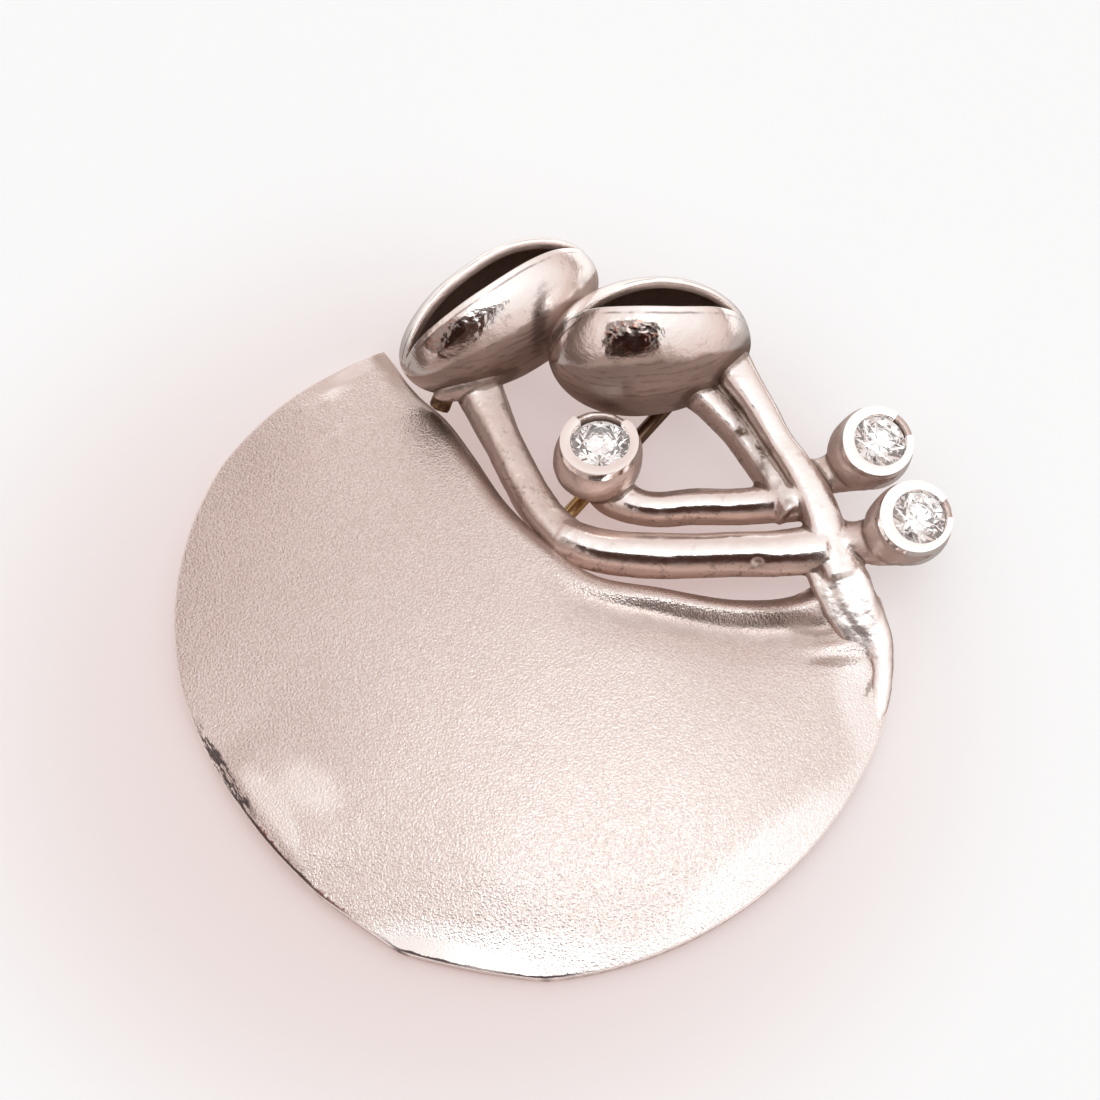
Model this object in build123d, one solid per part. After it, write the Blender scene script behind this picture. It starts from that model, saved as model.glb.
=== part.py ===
from build123d import *
import os
from collections import namedtuple
from math import cos, exp, hypot, radians, sin, tan

# Flower brooch, lying on its pin side: X across it, Y from the leaf towards the pods, Z up.
# The origin is under the middle of the whole piece, on the surface that it rests on.

# Driving dimensions, in millimetres and degrees

# The big round leaf, a domed sheet
leaf_radius = 18.4
leaf_rise = 3.4
leaf_sheet = 0.8
edge_roll_radius = 0.62

# The pin, its hinge and its catch, under the piece
pin_level = 1.3
pin_length = 22.0
pin_radius = 0.38
pin_tip_radius = 0.14
hinge_tilt = 32.0
barrel_radius = 0.72
barrel_length = 1.0
rivet_radius = 0.3
rivet_fit = 0.04
rivet_seat_gap = 0.02
lug_thickness = 0.5
lug_gap = 0.05
catch_wire = 0.45
catch_clearance = 0.2
catch_width = 1.2
catch_mouth = 50.0

# The cast stems, whose middle line is this far above the pin
main_stem_radius = 1.3
side_rod_radius = 0.62
stem_a_radius = 1.05
stem_b_radius = 0.86
stub_radius = 0.95
solder_radius = 0.75
stem_clearance = 0.27
stem_level = pin_level + pin_radius + stem_clearance + stem_a_radius

# The two hollow pods
pod_wall = 0.55
left_pod_length = 11.4
left_pod_radius = 3.25
left_pod_gap = 1.7
left_pod_heel = 0.5
right_pod_length = 10.4
right_pod_radius = 3.5
right_pod_gap = 1.6
left_pod_clearance = 1.95
hinge_room = 1.1
left_pod_level = left_pod_clearance + left_pod_radius
right_pod_level = pin_level + hinge_room + right_pod_radius

# The stone cups
cup_depth = 4.0
rim_wall = 0.5
stone_gap = 0.03
girdle_drop = 0.5
notch_drop = 1.5
inner_stone_width = 3.0
upper_stone_width = 2.7
lower_stone_width = 2.8
cup_clearance = 0.2
cup_level = pin_level + pin_radius + cup_clearance + cup_depth

# Places on the leaf's plan: across and along are shares of leaf_radius from the dome's middle
Place = namedtuple("Place", "across along")
# A station of a rod: height is a share of stem_level, thickness a share of the rod's own radius
Station = namedtuple("Station", "across along height thickness")
# A soft rise or hollow hammered into the leaf: reach in shares of leaf_radius, depth of leaf_rise
Dent = namedtuple("Dent", "across along reach depth")
# A station of the rolled edge: lift in shares of edge_roll_radius from the leaf's upper face
Roll = namedtuple("Roll", "across along lift thickness")
# A point of a turned profile: shares of its length and of its largest radius
Turned = namedtuple("Turned", "length radius")

# The dome comes down to the resting surface at this share of leaf_radius. The sheet is made
# as a square with this half width in leaf_radius, from this many steps each way, before it is cut
leaf_foot = 1.03
leaf_blank_half = 1.12
leaf_blank_steps = 14

leaf_dents = [
    Dent(0.56, -0.04, 0.16, -0.10),
    Dent(-0.78, -0.30, 0.22, -0.08),
    Dent(-0.62, 0.62, 0.20, 0.10),
    Dent(-0.10, -0.72, 0.22, 0.05),
    Dent(0.62, -0.52, 0.30, 0.05),
]

# The round edge, as arcs through a middle point to an end point, from the upper left tip
leaf_tip = Place(-0.42, 0.90)
round_edge = [
    (Place(-0.66, 0.77), Place(-0.88, 0.545)),
    (Place(-0.995, 0.20), Place(-0.975, -0.17)),
    (Place(-0.835, -0.475), Place(-0.60, -0.77)),
    (Place(-0.51, -0.84), Place(-0.38, -0.935)),
    (Place(-0.18, -0.99), Place(0.03, -1.02)),
    (Place(0.52, -0.85), Place(0.91, -0.40)),
    (Place(0.99, -0.13), Place(0.96, 0.15)),
]
# The hollowed edge beside the stems, from under the foot of the main stem back to the tip
hollow_edge = [
    Place(0.81, 0.155),
    Place(0.735, 0.10),
    Place(0.57, 0.08),
    Place(0.35, 0.09),
    Place(0.155, 0.135),
    Place(0.05, 0.24),
    Place(-0.085, 0.39),
    Place(-0.17, 0.54),
    Place(-0.25, 0.67),
    Place(-0.335, 0.765),
]

rolled_edge = [
    Roll(-0.40, 0.86, -0.4, 0.45),
    Roll(-0.335, 0.745, -0.5, 0.8),
    Roll(-0.25, 0.645, -0.6, 0.95),
    Roll(-0.17, 0.52, -0.6, 1.0),
    Roll(-0.085, 0.37, -0.6, 1.0),
    Roll(0.05, 0.215, -0.5, 1.0),
    Roll(0.155, 0.12, -0.3, 1.0),
    Roll(0.35, 0.075, 0.1, 1.0),
    Roll(0.57, 0.06, 0.45, 1.05),
    Roll(0.735, 0.07, 0.7, 1.2),
    Roll(0.84, 0.095, 0.9, 1.5),
]

main_stem = [
    Station(0.525, 0.765, 1.90, 0.85),
    Station(0.577, 0.655, 1.60, 0.88),
    Station(0.627, 0.587, 1.47, 0.88),
    Station(0.683, 0.489, 1.33, 0.90),
    Station(0.735, 0.400, 1.23, 1.00),
    Station(0.790, 0.250, 1.07, 1.10),
    Station(0.836, 0.170, 0.95, 1.10),
    Station(0.880, 0.090, 0.80, 1.05),
    Station(0.925, -0.010, 0.58, 0.85),
    Station(0.930, -0.150, 0.33, 0.38),
]
side_rod = [
    Station(0.475, 0.710, 1.55, 1.5),
    Station(0.520, 0.650, 1.42, 1.15),
    Station(0.577, 0.592, 1.40, 1.0),
    Station(0.622, 0.502, 1.37, 1.0),
    Station(0.668, 0.425, 1.30, 1.2),
    Station(0.730, 0.370, 1.20, 1.4),
]
stem_a = [
    Station(-0.150, 0.760, 1.55, 1.25),
    Station(-0.135, 0.690, 1.35, 1.05),
    Station(-0.106, 0.604, 1.20, 0.98),
    Station(-0.042, 0.461, 1.10, 1.0),
    Station(0.036, 0.334, 1.03, 1.0),
    Station(0.095, 0.268, 1.0, 1.0),
    Station(0.181, 0.235, 1.0, 1.0),
    Station(0.293, 0.219, 1.0, 1.0),
    Station(0.516, 0.222, 1.0, 1.0),
    Station(0.711, 0.229, 1.03, 1.05),
    Station(0.800, 0.245, 1.05, 1.15),
]
stem_b = [
    Station(0.185, 0.440, 0.90, 1.2),
    Station(0.215, 0.400, 0.95, 1.05),
    Station(0.265, 0.378, 1.0, 1.0),
    Station(0.460, 0.377, 1.03, 1.0),
    Station(0.627, 0.378, 1.10, 1.05),
    Station(0.740, 0.385, 1.18, 1.3),
]
upper_stub = [
    Station(0.725, 0.450, 1.25, 1.2),
    Station(0.835, 0.470, 1.20, 0.9),
    Station(0.930, 0.495, 1.20, 1.15),
]
lower_stub = [
    Station(0.800, 0.245, 1.05, 1.2),
    Station(0.885, 0.247, 1.07, 1.0),
    Station(0.985, 0.260, 1.13, 1.2),
]
# The solder that ties the left pod to the leaf's edge
solder_bridge = [
    Station(-0.262, 0.650, 0.72, 0.9),
    Station(-0.255, 0.700, 1.05, 0.8),
    Station(-0.245, 0.740, 1.40, 1.1),
]

# The cups' outside, from the rim down
cup_profile = [
    Turned(0.12, 1.03),
    Turned(0.38, 1.09),
    Turned(0.65, 0.98),
    Turned(0.88, 0.64),
]

# Where each pod is widest, which way it points and which way its mouth leans off upright;
# widest is a share of the pod's length from its left end
left_pod_middle = Place(-0.097, 0.895)
left_pod_widest = 0.55
left_pod_turn = 29.8
left_pod_pitch = 9.6
left_pod_lean = 22.0
left_mouth_length = 0.90
left_mouth_shift = 0.0
right_pod_middle = Place(0.323, 0.79)
right_pod_widest = 0.48
right_pod_turn = 6.0
right_pod_pitch = 0.0
right_pod_lean = 24.0
right_mouth_length = 0.74
right_mouth_shift = 0.06

# Each cup's rim: its middle, the way its axis leans, and the notch in its rim
Cup = namedtuple("Cup", "place stone_width lean_across lean_along notch_middle notch_half")
inner_cup = Cup(Place(0.181, 0.50), inner_stone_width, 0.0, 8.0, 88, 42)
upper_cup = Cup(Place(0.962, 0.503), upper_stone_width, 12.0, -8.0, 36, 22)
lower_cup = Cup(Place(1.070, 0.268), lower_stone_width, 12.0, -9.0, 19, 17)

# The brilliant cut, as shares of the stone's radius and angles to the girdle
table_share = 0.57
girdle_share = 0.09
crown_angle = 34.5
star_angle = 21.0
upper_half_angle = 41.0
pavilion_angle = 40.8
lower_half_angle = 42.3
main_facets = 8
half_facets = 16

# The hinge is under the right pod, and the pin points from it towards the leaf's left side.
# The catch stands at a share of the pin's length, and the pin tapers beyond another.
# The hook's post ends this far down in the leaf's sheet, as a share of its thickness
hinge_place = Place(0.436, 0.805)
pin_heading = -129.6
catch_share = 0.93
pin_taper_share = 0.8
catch_root = 0.8


def spot(place):
    """A place of the plan, in millimetres."""
    return leaf_radius * place.across, leaf_radius * place.along


def leaf_top(x, y):
    """Height of the leaf's upper face: a dome with its hammered hollows and rises."""
    reach = hypot(x, y) / (leaf_foot * leaf_radius)
    height = leaf_sheet + leaf_rise * (1 - reach**2)
    for dent in leaf_dents:
        centre_x, centre_y = spot(dent)
        away = hypot(x - centre_x, y - centre_y) / (dent.reach * leaf_radius)
        height += dent.depth * leaf_rise * exp(-(away**2))
    return height


def leaf_outline():
    """The leaf's edge in plan: arcs all round and one curve along the stems."""
    lines = []
    start = spot(leaf_tip)
    for middle, end in round_edge:
        lines.append(ThreePointArc(start, spot(middle), spot(end)))
        start = spot(end)
    lines.append(Line(start, spot(hollow_edge[0])))
    lines.append(Spline([spot(place) for place in hollow_edge] + [spot(leaf_tip)]))
    return Wire(lines)


def leaf_sheet_solid():
    """The domed sheet: its upper face carried down by the sheet's thickness, cut to the edge."""
    half = leaf_blank_half * leaf_radius
    steps = [-half + 2 * half * i / leaf_blank_steps for i in range(leaf_blank_steps + 1)]
    rows = []
    for x in steps:
        rows.append([Vector(x, y, leaf_top(x, y)) for y in steps])
    face = Face.make_surface_from_array_of_points(rows, tol=0.01)
    sheet = Solid.extrude(face, Vector(0, 0, -leaf_sheet))
    depth = leaf_rise + leaf_sheet
    blank = extrude(Plane.XY.offset(-depth) * make_face(leaf_outline()), amount=3 * depth)
    return sheet & blank


def rod(points, radii):
    """A round rod through points, its radius changing from one to the next."""
    path = Spline(points)
    sections = []
    for point, radius in zip(points, radii):
        along = path % path.param_at_point(point)
        side = Vector(0, 0, 1).cross(along)
        sections.append(Plane(origin=point, x_dir=side, z_dir=along) * Circle(radius))
    return loft(sections)


def stem(stations, radius):
    """A stem from its table of stations."""
    points = [Vector(*spot(row), stem_level * row.height) for row in stations]
    return rod(points, [radius * row.thickness for row in stations])


def rolled_edge_solid():
    """The thickened edge beside the stems, turned down on the left and standing up on the right."""
    points = []
    for row in rolled_edge:
        x, y = spot(row)
        points.append(Vector(x, y, leaf_top(x, y) + row.lift * edge_roll_radius))
    return rod(points, [edge_roll_radius * row.thickness for row in rolled_edge])


def turned_pod(length, radius, widest):
    """A pod's outside or inside, an egg turned about X with its middle at the origin."""
    left = length * widest
    right = length - left
    middle = left - length / 2
    near = EllipticalCenterArc((middle, 0), left, radius, 90, arc_size=90)
    far = EllipticalCenterArc((middle, 0), right, radius, 0, arc_size=90)
    axis = Line((middle - left, 0), (middle + right, 0))
    return revolve(make_face([near, far, axis]), Axis.X, 360)


def pod_frame(middle, level, turn, pitch, lean):
    """The plane of a pod: X along it and Z out of its mouth."""
    x, y = spot(middle)
    flat = Vector(cos(radians(turn)), sin(radians(turn)), 0)
    along = flat * cos(radians(pitch)) + Vector(0, 0, 1) * sin(radians(pitch))
    across = Vector(0, 0, 1).cross(flat)
    upright = along.cross(across)
    mouth = upright * cos(radians(lean)) + across * sin(radians(lean))
    return Plane(origin=(x, y, level), x_dir=along, z_dir=mouth)


def pod_mouth(length, radius, gap, share, shift):
    """What is cut away between a pod's two shells: a lens as seen into the mouth."""
    half = length * share / 2
    middle = length * shift
    left = (middle - half, 0)
    right = (middle + half, 0)
    lens = make_face([
        ThreePointArc(left, (middle, gap / 2), right),
        ThreePointArc(right, (middle, -gap / 2), left),
    ])
    return extrude(lens, amount=2 * radius)


def cup_frame(cup):
    """The plane of a cup's rim: Z out of the cup and X towards the notch in its rim."""
    x, y = spot(cup.place)
    axis = Vector(tan(radians(cup.lean_across)), tan(radians(cup.lean_along)), 1).normalized()
    notch = Vector(cos(radians(cup.notch_middle)), sin(radians(cup.notch_middle)), 0)
    return Plane(origin=(x, y, cup_level), x_dir=notch, z_dir=axis)


def cup_body(cup):
    """The outside of a cup, turned about Z, with its rim at the frame's origin."""
    rim = cup.stone_width / 2 + stone_gap + rim_wall
    points = [(rim, 0)]
    for row in cup_profile:
        points.append((rim * row.radius, -cup_depth * row.length))
    points.append((0, -cup_depth))
    curve = Spline(points, tangents=[(0, -1), (-1, 0)])
    half = make_face([Line((0, 0), points[0]), curve, Line(points[-1], (0, 0))])
    return revolve(Plane.XZ * half, Axis.Z, 360)


def cup_cuts(cup):
    """The stone's seat and the notch through the rim."""
    radius = cup.stone_width / 2
    bore = radius + stone_gap
    ledge = -girdle_drop - girdle_share * radius / 2 - stone_gap
    floor = ledge - bore * tan(radians(pavilion_angle))
    over = rim_wall
    seat = make_face(Polyline((0, over), (bore, over), (bore, ledge), (0, floor), (0, over)))
    hollow = revolve(Plane.XZ * seat, Axis.Z, 360)
    reach = bore + 2 * rim_wall
    half_width = 2 * reach * tan(radians(cup.notch_half))
    wedge = make_face(Polyline((0, 0), (2 * reach, half_width), (2 * reach, -half_width), (0, 0)))
    notch = Plane.XY.offset(-notch_drop) * (wedge & Circle(reach))
    return hollow + extrude(notch, amount=notch_drop + over)


def facet(solid, distance, height, angle, turn, up):
    """One flat ground on a stone, through a point at that distance from its axis."""
    lean = radians(angle)
    outward = Vector(sin(lean), 0, cos(lean) * up).rotate(Axis.Z, turn)
    origin = Vector(distance, 0, height).rotate(Axis.Z, turn)
    return split(solid, Plane(origin=origin, z_dir=outward), keep=Keep.BOTTOM)


def brilliant(width):
    """A round brilliant with a table, its girdle's middle at the origin."""
    radius = width / 2
    girdle = girdle_share * radius / 2
    table = girdle + radius * (1 - table_share) * tan(radians(crown_angle))
    stone = extrude(Plane.XY.offset(-radius) * Circle(radius), amount=radius + table)
    main_step = 360 / main_facets
    half_step = 360 / half_facets
    flat = cos(radians(half_step / 2))
    for i in range(main_facets):
        stone = facet(stone, radius, girdle, crown_angle, i * main_step, 1)
        stone = facet(stone, radius, -girdle, pavilion_angle, i * main_step, -1)
        star_distance = table_share * radius * cos(radians(main_step / 2))
        stone = facet(stone, star_distance, table, star_angle, (i + 0.5) * main_step, 1)
    for i in range(half_facets):
        turn = (i + 0.5) * half_step
        stone = facet(stone, radius * flat, girdle, upper_half_angle, turn, 1)
        stone = facet(stone, radius * flat, -girdle, lower_half_angle, turn, -1)
    return stone


def seated_stone(cup):
    """A brilliant set in its cup."""
    frame = cup_frame(cup)
    return frame.location * (Pos(0, 0, -girdle_drop) * brilliant(cup.stone_width))


def hinge_frame():
    """The hinge: Z along the rivet, X along the closed pin and Y the way that the pin swings out."""
    x, y = spot(hinge_place)
    heading = radians(pin_heading)
    along = Vector(cos(heading), sin(heading), 0)
    side = Vector(-sin(heading), cos(heading), 0)
    tilt = radians(hinge_tilt)
    axis = side * cos(tilt) + Vector(0, 0, 1) * sin(tilt)
    return Plane(origin=(x, y, pin_level), x_dir=along, z_dir=axis)


def hinge_lugs():
    """Two ears beside the pin's barrel, reaching up into the right pod."""
    reach = (right_pod_level - pin_level) / cos(radians(hinge_tilt))
    rise = reach - right_pod_radius + pod_wall
    ear = Circle(barrel_radius) + Pos(0, -rise / 2) * Rectangle(2 * barrel_radius, rise)
    plate = extrude(ear, amount=lug_thickness)
    inner = barrel_length / 2 + lug_gap
    lugs = [Pos(0, 0, inner) * plate, Pos(0, 0, -inner - lug_thickness) * plate]
    return [hinge_frame().location * lug for lug in lugs]


def rivet_hole():
    """The hole through both ears."""
    length = barrel_length + 4 * (lug_gap + lug_thickness)
    return hinge_frame().location * Cylinder(rivet_radius + rivet_seat_gap, length)


def hinge_rivet():
    """The rivet through both ears and the barrel."""
    length = barrel_length + 2 * (lug_gap + lug_thickness)
    return hinge_frame().location * Cylinder(rivet_radius, length)


def pin_wire():
    """The pin with its barrel: a wire that tapers to a point."""
    taper = pin_taper_share * pin_length
    shaft = extrude(Plane.YZ * Circle(pin_radius), amount=taper)
    neck = Plane.YZ.offset(taper) * Circle(pin_radius)
    tip = Plane.YZ.offset(pin_length) * Circle(pin_tip_radius)
    barrel = Cylinder(barrel_radius, barrel_length)
    bore = Cylinder(rivet_radius + rivet_fit, 2 * barrel_length)
    return hinge_frame().location * (shaft + loft([neck, tip]) + barrel - bore)


def pin_catch():
    """The hook under the leaf: a ring open towards the side that the pin swings out to."""
    frame = hinge_frame()
    station = catch_share * pin_length
    middle = frame.from_local_coords(Vector(station, 0, 0))
    tilt = radians(hinge_tilt)
    root = leaf_top(middle.X, middle.Y) - catch_root * leaf_sheet
    rise = (root - pin_level) / cos(tilt)
    inner = pin_radius + catch_clearance
    outer = inner + catch_wire
    reach = 2 * outer
    half_mouth = reach * tan(radians(catch_mouth))
    mouth = make_face(Polyline((0, 0), (reach, half_mouth), (reach, -half_mouth), (0, 0)))
    post = Pos(-(inner + rise) / 2, 0) * Rectangle(rise - inner, 2 * catch_wire)
    hook = Circle(outer) - Circle(inner) - mouth + post
    plate = extrude(Plane.YZ.offset(station - catch_width / 2) * hook, amount=catch_width)
    return frame.location * plate


def place_pod(solid, middle, level, turn, pitch, lean):
    """A pod's solid, moved from its own axes to its place."""
    return pod_frame(middle, level, turn, pitch, lean).location * solid


def flower_frame():
    """All the white metal, soldered into one: leaf, stems, pods, cups, hinge ears and catch."""
    left = (left_pod_middle, left_pod_level, left_pod_turn, left_pod_pitch, left_pod_lean)
    right = (right_pod_middle, right_pod_level, right_pod_turn, right_pod_pitch, right_pod_lean)
    left_outside = turned_pod(left_pod_length, left_pod_radius, left_pod_widest)
    right_outside = turned_pod(right_pod_length, right_pod_radius, right_pod_widest)
    left_room = left_pod_length - 2 * pod_wall - left_pod_heel
    left_inside = turned_pod(left_room, left_pod_radius - pod_wall, left_pod_widest)
    left_inside = Pos(-left_pod_heel / 2, 0, 0) * left_inside
    right_inside = turned_pod(
        right_pod_length - 2 * pod_wall, right_pod_radius - pod_wall, right_pod_widest)
    left_mouth = pod_mouth(
        left_pod_length, left_pod_radius, left_pod_gap, left_mouth_length, left_mouth_shift)
    right_mouth = pod_mouth(
        right_pod_length, right_pod_radius, right_pod_gap, right_mouth_length, right_mouth_shift)
    pieces = [
        rolled_edge_solid(),
        stem(stem_a, stem_a_radius),
        stem(main_stem, main_stem_radius),
        stem(side_rod, side_rod_radius),
        stem(stem_b, stem_b_radius),
        stem(upper_stub, stub_radius),
        stem(lower_stub, stub_radius),
        stem(solder_bridge, solder_radius),
        place_pod(left_outside, *left),
        place_pod(right_outside, *right),
    ]
    cups = [inner_cup, upper_cup, lower_cup]
    pieces += [cup_frame(cup).location * cup_body(cup) for cup in cups]
    pieces += hinge_lugs()
    pieces.append(pin_catch())
    body = leaf_sheet_solid()
    for piece in pieces:
        body = body + piece
    cuts = [
        place_pod(right_inside, *right),
        place_pod(left_inside, *left),
        place_pod(left_mouth, *left),
        place_pod(right_mouth, *right),
        rivet_hole(),
    ]
    cuts += [cup_frame(cup).location * cup_cuts(cup) for cup in cups]
    for cut in cuts:
        body = body - cut
    return body


def build():
    """Every piece, set so that the origin is under the middle of the whole brooch."""
    pieces = {
        "flower_frame": flower_frame(),
        "inner_diamond": seated_stone(inner_cup),
        "upper_diamond": seated_stone(upper_cup),
        "lower_diamond": seated_stone(lower_cup),
        "pin_wire": pin_wire(),
        "hinge_rivet": hinge_rivet(),
    }
    box = Compound(children=[Part(piece.wrapped) for piece in pieces.values()]).bounding_box()
    middle = box.center()
    shift = Pos(-middle.X, -middle.Y, -box.min.Z)
    return {name: shift * piece for name, piece in pieces.items()}, shift


parts, shift = build()
os.makedirs("parts", exist_ok=True)
for name, piece in parts.items():
    export_step(piece, f"parts/{name}.step")
hinge = shift * hinge_frame().location
print("shift", shift.position, "hinge", hinge.position, "axis", Plane(hinge).z_dir)
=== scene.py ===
from math import asin, atan2, cos, exp, hypot, pi, radians, sin, tan

import bmesh
import bpy
import numpy as np
from mathutils import Matrix, Vector, noise
from mathutils.bvhtree import BVHTree
from mathutils.kdtree import KDTree


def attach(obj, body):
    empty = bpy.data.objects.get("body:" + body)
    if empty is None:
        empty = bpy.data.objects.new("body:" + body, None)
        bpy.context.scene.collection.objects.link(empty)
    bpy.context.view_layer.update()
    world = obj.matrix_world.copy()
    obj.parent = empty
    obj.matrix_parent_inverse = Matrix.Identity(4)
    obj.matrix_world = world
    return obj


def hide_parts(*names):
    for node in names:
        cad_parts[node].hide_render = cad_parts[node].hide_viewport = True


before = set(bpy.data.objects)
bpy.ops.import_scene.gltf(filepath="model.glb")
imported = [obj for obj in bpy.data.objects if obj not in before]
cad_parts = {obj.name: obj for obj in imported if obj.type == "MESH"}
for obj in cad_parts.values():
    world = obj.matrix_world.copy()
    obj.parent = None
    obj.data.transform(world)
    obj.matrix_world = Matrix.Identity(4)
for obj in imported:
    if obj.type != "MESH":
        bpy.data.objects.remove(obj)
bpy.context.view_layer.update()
print("frame loaded:", ", ".join(sorted(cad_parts)))

# The pieces are drawn in millimetres from the middle of the leaf's dome, with Z up from its foot.
# Places on the plan are shares of the leaf's radius. toFrame brings a piece to the shared frame.
leafRadius = 18.4
stemLevel = 3.0                      # the rods' levels are shares of this height
leafMiddle = Vector((-1.55135, -0.88342, 0.01924))      # the leaf's foot in the shared frame, in mm
toFrame = Matrix.Scale(0.001, 4) @ Matrix.Translation(leafMiddle)


def spot(across, along, height=0.0):
    return Vector((across * leafRadius, along * leafRadius, height))


def seenAt(place):
    # a place in mm as the camera sees it from above the leaf's foot: across and up
    rise = radians(studio["elevation"])
    return place.x, place.y * sin(rise) + place.z * cos(rise)


# Curves and shapes that several pieces use

def smoothRows(rows, steps):
    # one soft curve through rows of numbers, spaced by their distance
    rows = [np.array(row, float) for row in rows]
    gaps = [max(np.linalg.norm(b - a), 1e-6) for a, b in zip(rows, rows[1:])]
    slopes = [(rows[1] - rows[0]) / gaps[0]]
    for i in range(1, len(rows) - 1):
        before = (rows[i] - rows[i - 1]) / gaps[i - 1]
        after = (rows[i + 1] - rows[i]) / gaps[i]
        slopes.append((before * gaps[i] + after * gaps[i - 1]) / (gaps[i] + gaps[i - 1]))
    slopes.append((rows[-1] - rows[-2]) / gaps[-1])
    curve = [rows[0]]
    for i, gap in enumerate(gaps):
        for j in range(1, steps + 1):
            t = j / steps
            curve.append(rows[i] * (1 + 2 * t) * (1 - t) ** 2 + rows[i + 1] * t * t * (3 - 2 * t)
                         + slopes[i] * gap * t * (1 - t) ** 2 - slopes[i + 1] * gap * t * t * (1 - t))
    return curve


def arcThrough(start, middle, end, steps):
    # points on the arc from start to end, without the start itself
    (ax, ay), (bx, by), (cx, cy) = start, middle, end
    twice = 2 * (ax * (by - cy) + bx * (cy - ay) + cx * (ay - by))
    squares = [ax * ax + ay * ay, bx * bx + by * by, cx * cx + cy * cy]
    x = (squares[0] * (by - cy) + squares[1] * (cy - ay) + squares[2] * (ay - by)) / twice
    y = (squares[0] * (cx - bx) + squares[1] * (ax - cx) + squares[2] * (bx - ax)) / twice
    radius = hypot(ax - x, ay - y)
    first = atan2(ay - y, ax - x)
    turn = (atan2(cy - y, cx - x) - first + pi) % (2 * pi) - pi
    angles = [first + turn * (i + 1) / steps for i in range(steps)]
    return [(x + radius * cos(angle), y + radius * sin(angle)) for angle in angles]


def addRod(mesh, rows, steps=6, sides=32, crown=1.0, square=1.0, roll=0.0):
    # a closed rod through rows of x, y, z, half its width and half its height
    # crown below 1 planes its back flat, square below 1 makes its section squarer, and roll leans it over
    stations = smoothRows(rows, steps)
    points = [Vector(station[:3]) for station in stations]
    ring = bmesh.ops.create_circle(mesh, cap_ends=True, segments=sides, radius=1.0)["verts"]
    for vert in ring:
        for i in (0, 1):
            vert.co[i] = abs(vert.co[i]) ** square * (1 if vert.co[i] > 0 else -1)
        if vert.co.y > 0:
            vert.co.y = crown * (1 - (1 - vert.co.y) ** (1 / crown))
    edges = list({edge for vert in ring for edge in vert.link_edges})
    last = Matrix.Identity(4)
    for i, station in enumerate(stations):
        ahead = (points[min(i + 1, len(points) - 1)] - points[max(i - 1, 0)]).normalized()
        side = Vector((0, 0, 1)).cross(ahead).normalized()
        over = ahead.cross(side)
        place = Matrix((side, over, ahead)).transposed().to_4x4()
        place = Matrix.Translation(points[i]) @ place @ Matrix.Rotation(-radians(roll), 4, "Z")
        place = place @ Matrix.Diagonal((station[3], station[4], 1.0, 1.0))
        if i:
            made = bmesh.ops.extrude_edge_only(mesh, edges=edges)["geom"]
            ring = [item for item in made if isinstance(item, bmesh.types.BMVert)]
            inRing = set(ring)
            edges = [item for item in made if isinstance(item, bmesh.types.BMEdge)
                     and item.verts[0] in inRing and item.verts[1] in inRing]
        bmesh.ops.transform(mesh, matrix=place @ last.inverted(), verts=ring)
        last = place
    bmesh.ops.contextual_create(mesh, geom=edges)


def addBlob(mesh, centre, sizes, turn=0.0, tilt=0.0):
    # tilt lowers its +X end
    place = Matrix.Translation(centre) @ Matrix.Rotation(radians(turn), 4, "Z")
    place = place @ Matrix.Rotation(radians(tilt), 4, "Y")
    place = place @ Matrix.Diagonal((*sizes, 1.0))
    bmesh.ops.create_icosphere(mesh, subdivisions=3, radius=1.0, matrix=place)


def meltTogether(mesh, voxel):
    # overlapping closed rods and blobs become one skin, as cast or soldered metal is
    data = bpy.data.meshes.new("melt")
    mesh.to_mesh(data)
    mesh.free()
    lump = bpy.data.objects.new("melt", data)
    bpy.context.scene.collection.objects.link(lump)
    remesh = lump.modifiers.new("melt", "REMESH")
    remesh.mode = "VOXEL"
    remesh.voxel_size = voxel
    skin = bpy.data.meshes.new_from_object(lump.evaluated_get(bpy.context.evaluated_depsgraph_get()))
    melted = bmesh.new()
    melted.from_mesh(skin)
    bpy.data.objects.remove(lump)
    bpy.data.meshes.remove(data)
    bpy.data.meshes.remove(skin)
    return melted


def smoothOver(mesh, times, factor=0.5):
    for _ in range(times):
        bmesh.ops.smooth_vert(mesh, verts=mesh.verts, factor=factor, use_axis_x=True,
                              use_axis_y=True, use_axis_z=True)


def finishPiece(name, mesh, material, node="flower_frame"):
    mesh.transform(toFrame)
    data = bpy.data.meshes.new(name)
    mesh.to_mesh(data)
    mesh.free()
    data.polygons.foreach_set("use_smooth", [True] * len(data.polygons))
    data.materials.append(material)
    piece = bpy.data.objects.new(name, data)
    bpy.context.scene.collection.objects.link(piece)
    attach(piece, "brooch")
    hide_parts(node)
    print(name, "made with", len(data.polygons), "faces")
    return piece


def roundEdges(piece, width, segments=3, angle=45):
    bevel = piece.modifiers.new("edges", "BEVEL")
    bevel.width = width
    bevel.segments = segments
    bevel.limit_method = "ANGLE"
    bevel.angle_limit = radians(angle)


# Shader maths: sums and products of wires and numbers become Math nodes

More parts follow.
